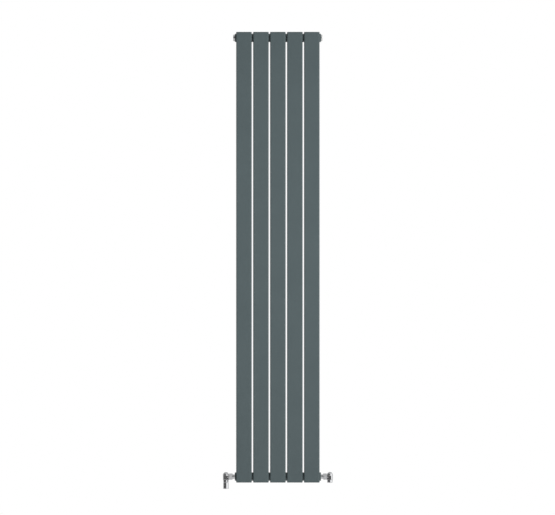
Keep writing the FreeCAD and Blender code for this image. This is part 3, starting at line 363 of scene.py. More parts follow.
def blended_solid(distance, low, high, step):
    """The surface where a distance function is zero, as (vertices, faces) and a normal at each vertex."""
    axes = [np.arange(a - 1.5 * step, b + 2.5 * step, step) for a, b in zip(low, high)]
    grid = np.stack(np.meshgrid(*axes, indexing="ij"), -1)
    inside = distance(grid.reshape(-1, 3)).reshape(grid.shape[:3]) < 0
    cell = tuple(n - 1 for n in inside.shape)
    held = sum(
        inside[i:i + cell[0], j:j + cell[1], k:k + cell[2]].astype(int)
        for i in (0, 1) for j in (0, 1) for k in (0, 1)
    )
    mixed = (held > 0) & (held < 8)
    index = np.full(cell, -1)
    index[mixed] = np.arange(mixed.sum())
    corner = np.array([a[0] for a in axes])
    verts = corner + (np.argwhere(mixed) + 0.5) * step

    def slope(points):
        small = 1e-3
        shifts = np.eye(3) * small
        return np.stack([distance(points + s) - distance(points - s) for s in shifts], 1) / (2 * small)

    for _ in range(8):
        gradient = slope(verts)
        size = np.maximum((gradient**2).sum(1), 1e-6)
        verts = verts - gradient * (distance(verts) / size)[:, None]
    faces = []
    for axis in range(3):
        one, two = [a for a in range(3) if a != axis]
        ahead = np.roll(inside, -1, axis)
        for cross in np.argwhere(inside != ahead):
            if cross[axis] >= cell[axis] or min(cross[one], cross[two]) < 1:
                continue
            around = []
            for back_one, back_two in ((0, 0), (1, 0), (1, 1), (0, 1)):
                at = cross.copy()
                at[one] -= back_one
                at[two] -= back_two
                around.append(int(index[tuple(at)]))
            faces.append(tuple(around))
    normal = slope(verts)
    return (verts, faces), normal / np.linalg.norm(normal, axis=1)[:, None]


# ---- materials


def feed(tree, socket, value):
    """Gives a socket a value, or links another socket to it."""
    if isinstance(value, bpy.types.NodeSocket):
        tree.links.new(value, socket)
    else:
        socket.default_value = value


class Nodes:
    """A material's node tree, with short ways to add what these finishes need."""

    def __init__(self, name):
        self.material = bpy.data.materials.new(name)
        self.material.use_nodes = True
        self.tree = self.material.node_tree
        self.shader = self.tree.nodes["Principled BSDF"]
        self.place = self.add("ShaderNodeTexCoord").outputs["Object"]

    def add(self, kind, **inputs):
        node = self.tree.nodes.new(kind)
        for key, value in inputs.items():
            feed(self.tree, node.inputs[key.replace("_", " ")], value)
        return node

    def noise(self, per_metre, detail=4.0, stretch=(1, 1, 1)):
        """Noise with that many features in a metre."""
        mapping = self.add("ShaderNodeMapping", Vector=self.place, Scale=stretch)
        node = self.add("ShaderNodeTexNoise", Vector=mapping.outputs[0], Scale=per_metre, Detail=detail)
        return node.outputs["Fac"]

    def cells(self, per_metre):
        """Cells of random shade, that many in a metre: their colour, and the distance to their points."""
        node = self.add("ShaderNodeTexVoronoi", Vector=self.place, Scale=per_metre)
        return node.outputs["Color"], node.outputs["Distance"]

    def turning_marks(self):
        """Fine rings along Z, as a lathe tool leaves them."""
        wave = self.add("ShaderNodeTexWave", Vector=self.place, Scale=300, Distortion=0.6, Detail=2.0)
        wave.wave_type = "BANDS"
        wave.bands_direction = "Z"
        return wave.outputs["Fac"]

    def ramp(self, factor, low, high, start=0.3, end=0.7):
        """Maps a factor between start and end to numbers between low and high."""
        node = self.add("ShaderNodeMapRange", Value=factor)
        for key, value in (("From Min", start), ("From Max", end), ("To Min", low), ("To Max", high)):
            node.inputs[key].default_value = value
        return node.outputs["Result"]

    def mix(self, factor, one, other):
        """Mixes two colours."""
        node = self.tree.nodes.new("ShaderNodeMix")
        node.data_type = "RGBA"
        feed(self.tree, node.inputs["Factor"], factor)
        for socket, value in ((node.inputs[6], one), (node.inputs[7], other)):
            feed(self.tree, socket, (*value, 1) if isinstance(value, tuple) else value)
        return node.outputs[2]

    def bump(self, *layers):
        """Stacks bump layers of (height, depth in millimetres)."""
        normal = None
        for height, depth in layers:
            node = self.add("ShaderNodeBump", Height=height, Distance=depth * MM)
            if normal is not None:
                feed(self.tree, node.inputs["Normal"], normal)
            normal = node.outputs[0]
        feed(self.tree, self.shader.inputs["Normal"], normal)

    def set(self, **inputs):
        for key, value in inputs.items():
            colour = isinstance(value, tuple) and len(value) == 3
            feed(self.tree, self.shader.inputs[key.replace("_", " ")], (*value, 1) if colour else value)
        return self.material


def powder_coat():
    """Anthracite powder coat: satin, with a fine orange peel and a faint cloudiness."""
    n = Nodes("powder_coat")
    cloud = n.ramp(n.noise(9, detail=2.0), 0, 1)
    grain = n.ramp(n.noise(2600, detail=1.0), 0, 1, 0.35, 0.65)
    base = n.mix(cloud, (0.086, 0.115, 0.121), (0.094, 0.125, 0.131))
    fleck = n.mix(grain, (0.080, 0.107, 0.113), (0.108, 0.140, 0.147))
    n.bump((n.noise(420, detail=2.0), 0.045), (n.noise(1900, detail=2.0), 0.012))
    roughness = n.ramp(n.noise(1300, detail=2.0), 0.38, 0.52)
    return n.set(Base_Color=n.mix(0.35, base, fleck), Roughness=roughness)


def chrome():
    """Bright chrome plate with faint wipe marks and dried spots."""
    n = Nodes("chrome")
    wipes = n.ramp(n.noise(70, detail=5.0, stretch=(1, 1, 0.35)), 0.035, 0.11, 0.35, 0.8)
    _, off_point = n.cells(420)
    spots = n.ramp(off_point, 0.05, 0.0, 0.0, 0.18)
    roughness = n.add("ShaderNodeMath")
    for socket, value in zip(roughness.inputs, (wipes, spots)):
        feed(n.tree, socket, value)
    tint = n.mix(n.ramp(n.noise(45, detail=3.0), 0, 1), (0.80, 0.81, 0.83), (0.86, 0.865, 0.875))
    n.bump((n.noise(160, detail=2.0), 0.004))
    return n.set(Base_Color=tint, Metallic=1.0, Roughness=roughness.outputs[0])


def zinc(name, rough):
    """Bright zinc plate: a bluish grey with soft patches and a slight straw tint in places."""
    n = Nodes(name)
    shade, _ = n.cells(260)
    crystals = n.ramp(shade, 0, 0.3, 0, 1)
    grey = n.mix(n.ramp(n.noise(120, detail=4.0), 0, 1), (0.50, 0.53, 0.57), (0.68, 0.70, 0.72))
    straw = n.mix(n.ramp(n.noise(38, detail=3.0), 0, 0.35, 0.45, 0.75), grey, (0.70, 0.67, 0.56))
    tint = n.mix(crystals, straw, (0.74, 0.75, 0.77))
    roughness = n.ramp(n.noise(300, detail=4.0), rough, rough + 0.2)
    n.bump((n.noise(900, detail=3.0), 0.02), (n.noise(60, detail=2.0), 0.03))
    return n.set(Base_Color=tint, Metallic=1.0, Roughness=roughness)


def brass():
    """Turned brass, slightly tarnished, with tool marks."""
    n = Nodes("brass")
    tarnish = n.ramp(n.noise(150, detail=5.0), 0, 0.7, 0.45, 0.75)
    tint = n.mix(tarnish, (0.80, 0.60, 0.27), (0.52, 0.37, 0.17))
    n.bump((n.turning_marks(), 0.008), (n.noise(700, detail=3.0), 0.008))
    return n.set(Base_Color=tint, Metallic=1.0, Roughness=n.ramp(n.noise(240, detail=3.0), 0.22, 0.42))


def copper():
    """Drawn copper tube, darker where it has tarnished."""
    n = Nodes("copper")
    tarnish = n.ramp(n.noise(90, detail=5.0), 0, 0.8, 0.4, 0.75)
    tint = n.mix(tarnish, (0.88, 0.47, 0.32), (0.45, 0.22, 0.15))
    n.bump((n.noise(600, detail=3.0, stretch=(1, 1, 0.1)), 0.01))
    return n.set(Base_Color=tint, Metallic=1.0, Roughness=n.ramp(n.noise(200, detail=3.0), 0.25, 0.45))


def rubber():
    """Black EPDM."""
    n = Nodes("rubber")
    tint = n.mix(n.ramp(n.noise(500, detail=3.0), 0, 1), (0.014, 0.014, 0.014), (0.026, 0.026, 0.027))
    n.bump((n.noise(2500, detail=2.0), 0.01))
    return n.set(Base_Color=tint, Roughness=n.ramp(n.noise(300), 0.62, 0.8))


def white_nylon():
    """Moulded white nylon, with a fine mould texture."""
    n = Nodes("white_nylon")
    tint = n.mix(n.ramp(n.noise(60, detail=3.0), 0, 1), (0.80, 0.80, 0.78), (0.86, 0.86, 0.84))
    n.bump((n.noise(1500, detail=2.0), 0.012))
    return n.set(Base_Color=tint, Roughness=n.ramp(n.noise(400), 0.36, 0.5))


FINISHES = {
    "powder_coat": powder_coat(),
    "chrome": chrome(),
    "zinc_bracket": zinc("zinc_bracket", 0.34),
    "zinc_fastener": zinc("zinc_fastener", 0.22),
    "brass": brass(),
    "copper": copper(),
    "rubber": rubber(),
    "white_nylon": white_nylon(),
}


def dress_cad_nodes():
    """Gives every CAD node its slot's finish. The ones that are rebuilt are hidden later."""
    for row in frame["record"]["subparts"]:
        materials = frame["nodes"][row["node"]].data.materials
        materials.clear()
        materials.append(FINISHES[row["material_slot"]])


# ---- panels and headers

PANEL_CORNER = 4.5  # flat tube's corner radius
CLOSURE_ROUND = 2.5  # a closure's outer edge
SEAM = 0.14  # depth of the dressed weld line between tube and closure


def panel_outline(node):
    """The flat tube's outline function, about the tube's own middle line."""
    low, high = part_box(node)
    half = (high - low) / (2 * MM)
    return bounded(-half.x, half.x, -half.y, half.y, [PANEL_CORNER] * 4, steps=8)


def stacked(outline, levels):
    """A solid through levels of (height, inset)."""
    rings = []
    for height, inset in levels:
        loop = outline(inset)
        rings.append(np.column_stack([loop, np.full(len(loop), height)]))
    return skin(rings)


def panel_tube(node):
    low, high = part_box(node)
    end = (high.z - low.z) / (2 * MM)
    levels = [(-end, SEAM), (SEAM - end, 0), (0, 0), (end - SEAM, 0), (end, SEAM)]
    tube = stacked(panel_outline(node), levels)
    piece(f"{node}_tube", [tube], Place(middle(node)), "powder_coat", node)


def closures(row):
    """The rounded ends welded on the tubes at one end of the radiator."""
    node = f"panel_{row}_plates"
    low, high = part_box(node)
    height = (high.z - low.z) / MM
    arc = [(height - CLOSURE_ROUND * (1 - math.sin(t)), CLOSURE_ROUND * (1 - math.cos(t)))
           for t in np.linspace(0, math.pi / 2, 9)]
    solid = stacked(panel_outline(PANELS[0]), [(0, SEAM), (SEAM, 0), *arc])
    upended = row == "bottom"
    parts = [moved(solid, x=middle(panel).x / MM, upended=upended) for panel in PANELS]
    seam = high.z if upended else low.z
    piece(f"panel_{row}_closures", parts, Place((0, middle(node).y, seam)), "powder_coat", node)


def header(row):
    """The round header, a dressed weld at each end of it, and the nipples that join it to the panels."""
    node = f"{row}_header"
    place = Place(middle(node))
    end, radius = place.box(node)[1].x, place.box(node)[1].y
    bead, bead_start, bead_top = 0.22, end - 3.2, end - 1.4
    weld = [(bead_start, radius, 0), (bead_top, radius + bead, 1.5), (end, radius, 0)]
    left_weld = [(-along, *rest) for along, *rest in reversed(weld)]
    profile = [(-end, 0), *left_weld, *weld, (end, 0)]
    piece(f"{node}_tube", [turned(profile)], place, "powder_coat", node)
    nipples = f"{row}_nipples"
    bore = place.box(nipples)[1].z
    back = place.box(PANELS[0])[1].y
    parts = [moved(nipple(bore, radius, back, i), x=middle(panel).x / MM) for i, panel in enumerate(PANELS)]
    piece(f"{nipples}_welded", parts, place, "powder_coat", nipples)


def nipple(bore, header_radius, panel_back, seed):
    """One nipple from a header's front to a panel's back, with a fillet weld at each end."""
    around = round_angles(96)
    weld = 1.5 * ripple(len(around), 22, seed)

    def on_header(radius, lift):
        """The Y of the header's front surface at that radius from the nipple's axis."""
        up = radius * np.sin(around)
        return -np.sqrt(header_radius**2 - up**2) - lift

    levels = [
        (on_header(bore + 1.15 * weld, -0.35), bore + 1.15 * weld),
        (on_header(bore + 0.95 * weld, 0.25), bore + 0.95 * weld),
        (on_header(bore + 0.55 * weld, 0.75), bore + 0.55 * weld),
        (on_header(bore + 0.2 * weld, 1.15), bore + 0.12 * weld),
        (panel_back + 1.25, bore + 0.1 * weld),
        (panel_back + 0.85, bore + 0.45 * weld),
        (panel_back + 0.35, bore + 0.8 * weld),
        (panel_back - 0.35, bore + 0.95 * weld),
    ]
    return turned(levels, "y", 0, around)


def socket(row, side):
    """The threaded bush in a header's end, with a countersunk port."""
    node = f"{row}_{side}_socket"
    place = header_end(row, side)
    low, high = place.box(node)
    bore, outside, header_bore, countersink = 10.45, high.z, high.z - 2.7, 0.6
    header_end_x = place.box(f"{row}_header")[1].x
    profile = [
        (low.x, bore), (low.x, header_bore), (header_end_x, header_bore), (header_end_x, outside),
        (0, outside, 3.0), (0, bore + countersink), (-countersink, bore),
    ]
    piece(f"{node}_bush", [turned(profile, rounding=0.15, closed=True)], place, "powder_coat", node)


# ---- top plugs

WELL_FLOOR = 2.5  # the floor of the well round the bleed screw, from the header's end face


def plug_spigot(low, high):
    """Profile points of a plug's threaded spigot, its seal's groove and its flange's back."""
    crest, groove, groove_depth = 10.4, 12.4, 1.6
    return [
        (low.x, crest - 1), (low.x + 1, crest), (groove_depth, crest), (groove_depth, groove),
        (FIT, groove), (FIT, high.z),
    ]


def blanking_plug():
    place = header_end("top", "left")
    low, high = place.box("blanking_plug")
    key = Polygon(6, 10, corner=0.25)
    hexagon = key.radius()
    floor = high.x - 4.5
    dish, dish_depth, dish_rim = 7.6, 0.25, 8.2
    profile = [
        (low.x, 0), *plug_spigot(low, high), (high.x, high.z, 1.8), (high.x, dish_rim, 0.3),
        (high.x - dish_depth, dish, 0.3), (high.x - dish_depth, hexagon + 0.35, 0.2),
        (high.x - dish_depth - 0.35, hexagon, 0.15), (floor, hexagon, 0.1), (floor, 4.2, 0),
        (floor - 1.1, 0, 0),
    ]
    part = turned(profile, rounding=0.2, angles=key.angles)
    piece("blanking_plug_chrome", [part], place, "chrome", "blanking_plug")


def vent_plug():
    """The air vent's body, with a well round the bleed screw and a lip that keeps the collar on."""
    place = header_end("top", "right")
    low, high = place.box("vent_plug")
    screw = place.box("bleed_screw")
    flange, lip = place.box("drain_collar")[0].x - 0.1, high.x - 0.6
    bore, way, well, neck, lip_radius = screw[1].y + FIT, 1.2, 4.6, 8.0, 8.5
    seat = place.box("bleed_tip")[0].x + 0.58
    profile = [
        (low.x, way), *plug_spigot(low, high), (flange, high.z, 0.5), (flange, neck, 0.1),
        (lip, neck, 0.1), (lip, lip_radius), (high.x, lip_radius, 0.25), (high.x, well, 0.4),
        (WELL_FLOOR, well, 0.3), (WELL_FLOOR, bore, 0.3), (seat, bore, 0.1), (seat, way, 0.05),
    ]
    part = turned(profile, rounding=0.2, closed=True)
    piece("vent_plug_chrome", [part], place, "chrome", "vent_plug")


def drain_collar():
    """The loose nylon ring, ribbed for fingers, with the hole that aims the water."""
    place = header_end("top", "right")
    low, high = place.box("drain_collar")
    around = round_angles(192)
    ribs, rib_depth = 24, 0.28
    outer = high.z - rib_depth * (0.5 + 0.5 * np.cos(ribs * around)) ** 0.6
    inner, wide = 8.1, 8.7
    step = high.x - 0.45
    profile = [
        (low.x, inner, 0.15), (low.x, outer, 0.3), (high.x, outer, 0.6), (high.x, wide, 0.2),
        (step, wide, 0.1), (step, inner, 0.1),
    ]
    ring = turned(profile, angles=around, closed=True)
    obj = piece("drain_collar_ring", [ring], place, "white_nylon", "drain_collar", "drain_collar")
    drill = bpy.data.meshes.new("drill")
    start, end, hole = -16, -6, 0.9
    rod = turned([(start, 0), (start, hole), (end, hole), (end, 0)], "z", 0, round_angles(32))
    verts, faces = moved(rod, x=(low.x + high.x) / 2)
    drill.from_pydata(verts.tolist(), [], faces)
    drill.transform(place.matrix)
    cut_away(obj, drill)


def cut_away(obj, mesh):
    """Subtracts a mesh in the row frame from a piece."""
    cutter = linked("cutter", mesh)
    obj.modifiers.clear()
    cut = obj.modifiers.new("Cut", "BOOLEAN")
    cut.object = cutter
    cut.solver = "EXACT"
    bpy.context.view_layer.update()
    made = bpy.data.meshes.new_from_object(obj.evaluated_get(bpy.context.evaluated_depsgraph_get()))
    obj.modifiers.clear()
    made.shade_smooth()
    made.set_sharp_from_angle(angle=CREASE)
    obj.data = made
    bpy.data.objects.remove(cutter)


def bleed_screw():
    """Brass screw with a square head for a radiator key."""
    place = header_end("top", "right")
    low, high = place.box("bleed_screw")
    head = Polygon(4, 5, corner=0.35).radius(round_angles())
    hollow, hollow_end, root = 1.2, -1.5, 2.5
    profile = [
        (hollow_end, 0, 0), (hollow_end, hollow, 0), (low.x, hollow, 0), (low.x, root, 0),
        *thread(low.x + 0.1, WELL_FLOOR - 0.6, high.y, 0.45), (WELL_FLOOR - 0.5, root, 0.1),
        (WELL_FLOOR, root - 0.1, 0.1), (WELL_FLOOR, head, 0.1), (high.x - 0.5, head, 0.2),
        (high.x, np.minimum(head - 0.5, 2.45), 0.2), (high.x, 0, 0),
    ]
    part = turned(profile, rounding=0.1)
    piece("bleed_screw_brass", [part], place, "brass", "bleed_screw", "bleed_screw")


# ---- angle valves

HEAD_BORE = 10.1  # radius inside a valve's head


class Valve:
    """One angle valve, from where its pipe and union axes cross: X away from the radiator and Z up."""

    def __init__(self, name):
        self.name = name
        pipe, union = middle(f"{name}_pipe_nut"), middle(f"{name}_tail")
        self.place = Place((pipe.x, pipe.y, union.z), name == "flow")

    def box(self, part):
        return self.place.box(f"{self.name}_{part}")

    def add(self, part, mesh, slot, body=ROOT, normals=None):
        node = f"{self.name}_{part}"
        piece(f"{node}_{slot}", [mesh], self.place, slot, node, body, normals)

    def forged_body(self):
        """The body, its flat sides and its union boss in one blended surface, hollow as the valve is."""
        low, high = self.box("valve_body")
        radius, bottom = high.x, -13.0
        flats, flats_top, flats_end, flats_corner = 10.6, 3.5, -11.0, 3.0
        boss, union = 9.2, 10.5
        chamber, seat, seat_depth, stop, pipe, way = 8.05, 5.0, 8.05, 12.0, 7.6, 5.5
        sides_middle = np.array([flats_end + flats_corner, bottom + flats_top]) / 2
        sides_half = np.array([flats_corner - flats_end, flats_top - bottom]) / 2 - flats_corner

        def distance(p):
            x, y, z = p.T
            across, off_union = np.hypot(x, y), np.hypot(y, z)
            shoulder = rod_distance(z, across, bottom - 10, high.z, radius, 2.4)
            main = np.maximum(rod_distance(z, across, bottom, high.z, radius, 0.8), shoulder)
            arm = rod_distance(x, off_union, low.x, 0, union, 0.6)
            head_room = rod_distance(z, across, high.z, high.z + 20, radius + 0.35, 0.1)
            joined = smooth_min(main, smooth_max(arm, -head_room, 0.5), 1.6)
            off_sides = np.abs(np.stack([x, z], 1) - sides_middle) - sides_half
            sides = np.linalg.norm(np.maximum(off_sides, 0), axis=1) + np.minimum(off_sides.max(1), 0)
            sides = smooth_max(sides - flats_corner, np.abs(y) - flats, 0.5)
            joined = smooth_min(joined, sides, 0.8)
            milled = smooth_min(np.abs(y) - flats, flats_top - z, 0.3)
            joined = smooth_max(joined, milled, 0.4)
            joined = smooth_max(joined, z - high.z, 0.4)
            tail = rod_distance(z, across, low.z, 0, boss, 0.3)
            joined = smooth_min(joined, tail, 0.8)
            bores = [
                rod_distance(z, across, -seat_depth, high.z + 5, chamber, 0.1),
                rod_distance(z, across, -stop - 2, 0, seat, 0.1),
                rod_distance(z, across, low.z - 5, -stop, pipe, 0.1),
                rod_distance(x, off_union, low.x - 5, 0, way, 0.1),
            ]
            for bore in bores:
                joined = smooth_max(joined, -bore, 0.3)
            return joined

        solid, normals = blended_solid(distance, low, high, 0.5)
        self.add("valve_body", solid, "chrome", normals=normals)

    def union_nut(self):
        """A hexagon nut whose chamfers cut curved edges on its flats."""
        low, high = self.box("union_nut")
        flats = high.z - low.z
        outline = Polygon(6, flats, corner=0.45, corner_first=True)
        hexagon = outline.radius()
        rim = flats / 2 - 0.35
        chamfer = (hexagon - rim) * CHAMFER_SLOPE
        lip, thread_bore = 9.15, 10.55
        lip_face = low.x + 2.4
        profile = [
            (low.x, rim, 0.25), (low.x + chamfer, hexagon, 0.25), (high.x - chamfer, hexagon, 0.25),
            (high.x, rim, 0.25), (high.x, thread_bore, 0.3), (lip_face, thread_bore, 0.05),
            (lip_face, lip, 0.05), (low.x, lip, 0.3),
        ]
        part = turned(profile, rounding=0.15, angles=outline.angles, closed=True)
        self.add("union_nut", part, "chrome")

    def tail(self):
        """The tail's polished shank, its collar in the nut and its thread in the header."""
        low, high = self.box("tail")
        side = "left" if self.name == "flow" else "right"
        header_face = self.place.box(f"bottom_{side}_socket")[1].x
        bore, key_bore, key_end = 5.5, 6.9, high.x - 8
        shank, collar, collar_back, crest, crest_end = 9.0, 10.3, high.x - 5, 10.4, header_face - 0.2
        groove, groove_from, groove_to = 8.9, header_face - 4.45, header_face - 2.55
        profile = [
            (low.x, bore), (low.x, crest - 1), (low.x + 1, crest), (groove_from, crest, 0.1),
            (groove_from, groove, 0.1), (groove_to, groove, 0.1), (groove_to, crest, 0.1),
            (crest_end, crest, 0.2), (crest_end, shank, 0.3), (collar_back, shank, 0.2),
            (collar_back, collar, 0.2), (high.x, collar, 0.2), (high.x, key_bore), (key_end, key_bore),
            (key_end, bore),
        ]
        self.add("tail", turned(profile, closed=True), "chrome")

    def pipe_nut(self):
        """Round, with two spanner flats at its lower end."""
        low, high = self.box("pipe_nut")
        pipe, boss, edge = 7.6, 9.25, 0.6
        flats, flats_height = 10.3, 4.0
        around = round_angles(192)
        milled = flats / np.maximum(np.abs(np.cos(around)), flats / high.x)
        flats_top, lip_face = low.z + flats_height, low.z + 1.9
        profile = [
            (low.z, high.x - edge, 0.25), (low.z + edge, milled, 0.25), (flats_top, milled, 0.1),
            (flats_top, high.x, 0.1), (high.z - edge, high.x, 0.25), (high.z, high.x - edge, 0.25),
            (high.z, boss, 0.2), (lip_face, boss, 0.05), (lip_face, pipe, 0.05), (low.z, pipe, 0.3),
        ]
        part = turned(profile, "z", angles=around, closed=True)
        self.add("pipe_nut", part, "chrome")

    def pipe_and_sleeve(self):
        low, high = self.box("pipe")
        outside, bore = high.x, 6.8
        tube = [(low.z, bore, 0.12), (low.z, outside, 0.15), (high.z, outside, 0.1), (high.z, bore, 0.1)]
        self.add("pipe", turned(tube, "z", closed=True), "copper")
        low, high = self.box("pipe_sleeve")
        wall = 0.8
        sleeve = [
            (low.z, outside + FIT, 0.1), (low.z, high.x, 1.1), (high.z, high.x, 0.15),
            (high.z, high.x - wall, 0.1), (low.z + wall, high.x - wall, 0.5),
            (low.z + wall, outside + FIT, 0.1),
        ]
        self.add("pipe_sleeve", turned(sleeve, "z", closed=True), "chrome")

    def ribbed_dome(self, low, high, around, opening=0.0):
        """The head's outside from its rim up to where its top has that radius, as profile points.

        Fine upright ribs run round its side, for grip.
        """
        shoulder, crown = (12.8, 10.2, 2.65), (high.z, 4.6, 4.14)  # height, radius, rounding
        ribs, depth, rim = 30, 0.35, low.z + 0.8
        rib_ends = [rim, rim + 0.6, 11.6, 12.4]
        outline = soften([(low.z, high.x), shoulder, crown, (high.z, 0.0)], 0)
        heights, radii = zip(*[(float(z[0]), float(r[0])) for z, r in outline])
        opening_height = np.interp(-opening, [-r for r in radii], heights)
        side = np.linspace(rim, heights[1], 10, endpoint=False)
        upper = [z for z, r in zip(heights[1:], radii[1:]) if r > opening]
        points = [(low.z, high.x, 0.3)]
        for z in (*side, *upper):
            strength = np.interp(z, rib_ends, [0, 1, 1, 0])
            groove = strength * depth * (0.5 - 0.5 * np.cos(ribs * around))
            points.append((z, np.interp(z, heights, radii) - groove, 0))
        return points + [(opening_height, opening, 0.15)]

    def cavity(self, roof_radius=0.0):
        """The head's inside from its roof down to its straight side."""
        roof, roof_edge, side_top = 15.6, 5.4, 9.8
        return [(roof, roof_radius, 0.3), (roof, roof_edge, 0.5), (side_top, HEAD_BORE, 0.6)]

    def hand_wheel(self):
        """The domed wheel, with a screw in its top."""
        low, high = self.box("hand_wheel")
        around = round_angles(360)
        hub, hub_bottom = 4.7, 12.6
        head, seat, bore = 3.1, 16.6, 1.5
        profile = [
            (low.z, HEAD_BORE, 0.2), *self.ribbed_dome(low, high, around, head), (seat, head, 0.1),
            (seat, bore, 0.05), (hub_bottom, bore, 0.1), (hub_bottom, hub, 0.3), *self.cavity(hub),
        ]
        wheel = turned(profile, "z", angles=around, closed=True)
        self.add("hand_wheel", wheel, "chrome", body="flow_wheel")
        key = Polygon(6, 2.5, corner=0.1)
        socket_wall = key.radius()
        screw_low, screw_high = self.box("wheel_screw")
        top, shank, under_head, head_radius = screw_high.z, bore - FIT, seat + FIT, head - 0.1
        profile = [
            (screw_low.z, 0), (screw_low.z, shank - 0.15), (screw_low.z + 0.2, shank),
            (under_head, shank, 0.05), (under_head, head_radius, 0.1), (top, head_radius, 0.3),
            (top, socket_wall + 0.15, 0.05), (top - 0.15, socket_wall, 0.05),
            (top - 1.8, socket_wall, 0.05), (top - 2, 0, 0),
        ]
        screw = turned(profile, "z", rounding=0.1, angles=key.angles)
        self.add("wheel_screw", screw, "zinc_fastener", body="flow_wheel")

    def lockshield_cap(self):
        """The domed cap, with the hexagon ring that grips the bonnet."""
        low, high = self.box("lockshield_cap")
        around = round_angles(360)
        hexagon = Polygon(6, 17.2, corner=0.3).radius(around)
        ring_top = low.z + 2.1
        profile = [
            *self.cavity(), (ring_top, HEAD_BORE, 0.1), (ring_top, hexagon, 0.1),
            (low.z + 0.35, hexagon, 0.1), (low.z, hexagon + 0.35, 0.1),
            *self.ribbed_dome(low, high, around),
        ]
        part = turned(profile, "z", rounding=0.2, angles=around)
        self.add("lockshield_cap", part, "chrome", body="return_cap")

    def bonnet(self):
        """The brass bonnet that shows when the lockshield cap is off."""
        low, high = self.box("bonnet")
        flats = high.x - low.x
        outline = Polygon(6, flats, corner=0.35)
        hexagon = outline.radius()
        guide = Polygon(6, 9.2, corner=0.1).radius(outline.angles)
        hex_bottom, hex_top, guide_top, gland_bottom, gland_top = 7.0, 9.6, 8.6, 9.7, 11.3
        neck, way, gland, thread_radius, rim = 6.0, 3.25, 4.3, 8.0, flats / 2 - 0.3
        chamfer = (hexagon - rim) * CHAMFER_SLOPE
        profile = [
            (low.z, guide, 0.1), (low.z, thread_radius, 0.2), (hex_bottom, thread_radius, 0.05),
            (hex_bottom, hexagon, 0.15), (hex_top - chamfer, hexagon, 0.2), (hex_top, rim, 0.2),
            (hex_top, neck, 0.4), (high.z, neck, 0.5), (high.z, way, 0.25), (gland_top, way, 0.05),
            (gland_top, gland, 0.05), (gland_bottom, gland, 0.05), (gland_bottom, way, 0.05),
            (guide_top, way, 0.05), (guide_top, guide, 0.05),
        ]
        part = turned(profile, "z", rounding=0.1, angles=outline.angles, closed=True)
        self.add("bonnet", part, "brass")

    def spindle(self):
        """The lockshield spindle, whose square shows when the cap is off."""
        low, high = self.box("spindle")
        around = round_angles()
        square = Polygon(4, 4.5, corner=0.3).radius(around)
        neck, neck_top = 3.2, 12.7
        square = np.minimum(square, neck - 0.1)
        collar, collar_bottom, collar_top = 4.5, 7.2, 8.5
        profile = [
            (low.z, 0), (low.z, 2.3, 0), *thread(low.z + 0.1, collar_bottom - 0.6, 2.9, 0.5),
            (collar_bottom, 2.4, 0), (collar_bottom, collar, 0.2), (collar_top, collar, 0.2),
            (collar_top, neck, 0.05), (neck_top, neck, 0.15), (neck_top, square, 0.05),
            (high.z - 0.6, square, 0.1), (high.z, np.minimum(square - 0.6, 2.2), 0.1), (high.z, 0, 0),
        ]
        self.add("spindle", turned(profile, "z", rounding=0.1), "brass", body="return_spindle")

    def common(self):
        self.forged_body()
        self.union_nut()
        self.tail()
        self.pipe_nut()


# ---- wall brackets

LOCK_SCREW = -16.0  # the lock screw's distance from the wall's face, as a Y


def lock_place(row, side):
    """The frame on the wall behind a bracket's lock screw, level with the header's axis."""
    return Place((middle(f"{row}_{side}_bracket").x, 0, middle(f"{row}_header").z))


def on_wall(u, v, height):
    return np.stack([u, -height, v], 1)


def standing(u, v, height):
    return np.stack([height, u, v], 1)


def bracket(row, side):
    """A pressed plate with two slotted cheeks welded on it."""
    node = f"{row}_{side}_bracket"
    inward = -1 if row == "top" else 1
    place = lock_place(row, side)
    low, high = place.box(node)
    sheet, gap, edge = 3.0, 4.6, 0.35
    face = bounded(low.x, high.x, low.z, high.z, [4.0] * 4)
    holes = [disc(0, inward * distance, 3.25) for distance in (26.0, 48.0)]
    parts = [plate(face, holes, 0, sheet, edge, on_wall)]
    half, slot_long, slot_wide = 11.0, 7.0, 3.3
    cheek = bounded(low.y, -sheet / 2, -half, half, [0.1, 0.1, 5.0, 5.0])
    slot = bounded(LOCK_SCREW - slot_long, LOCK_SCREW + slot_long, -slot_wide, slot_wide,
                   [slot_wide - 0.01] * 4, steps=10)
    count, sunk, weld = 60, 0.2, 1.25
    along_weld = np.linspace(1.2 - half, half - 1.2, count)
    fade = np.clip(3 * np.sin(np.linspace(0.05, math.pi - 0.05, count)), 0.3, 1)
    for sign in (-1, 1):
        start = gap / 2 if sign > 0 else -gap / 2 - sheet
        parts.append(plate(cheek, [slot], start, start + sheet, edge, standing))
        line = [(sign * (gap / 2 + sheet + sunk), -sheet - sunk, z) for z in along_weld]
        parts.append(weld_bead(line, (sign, -1, 0), weld * fade, 14, sign))
    piece(f"{node}_sheet", parts, place, "zinc_bracket", node)


def lug(row, side):
    """The tab on the header's back that the bracket's cheeks hold, with its welds."""
    node = f"{row}_{side}_lug"
    place = lock_place(row, side)
    low, high = place.box(node)
    header_low, header_high = place.box(f"{row}_header")
    axis_y, radius = (header_low.y + header_high.y) / 2, header_high.z
    outline = bounded(axis_y + radius - 1.2, high.y, low.z, high.z, [0.1, 2.0, 2.0, 0.1])
    parts = [plate(outline, [disc(LOCK_SCREW, 0, 3.3)], low.x, high.x, 0.3, standing)]
    bend = np.arcsin(np.linspace(low.z + 0.8, high.z - 0.8, 50) / radius)
    for sign in (-1, 1):
        across = sign * (high.x + 0.2)
        path = [(across, axis_y + (radius + 0.1) * math.cos(b), radius * math.sin(b)) for b in bend]
        parts.append(weld_bead(path, (sign, 1, 0), 1.3, 12, sign))
    piece(f"{node}_welded", parts, place, "powder_coat", node)


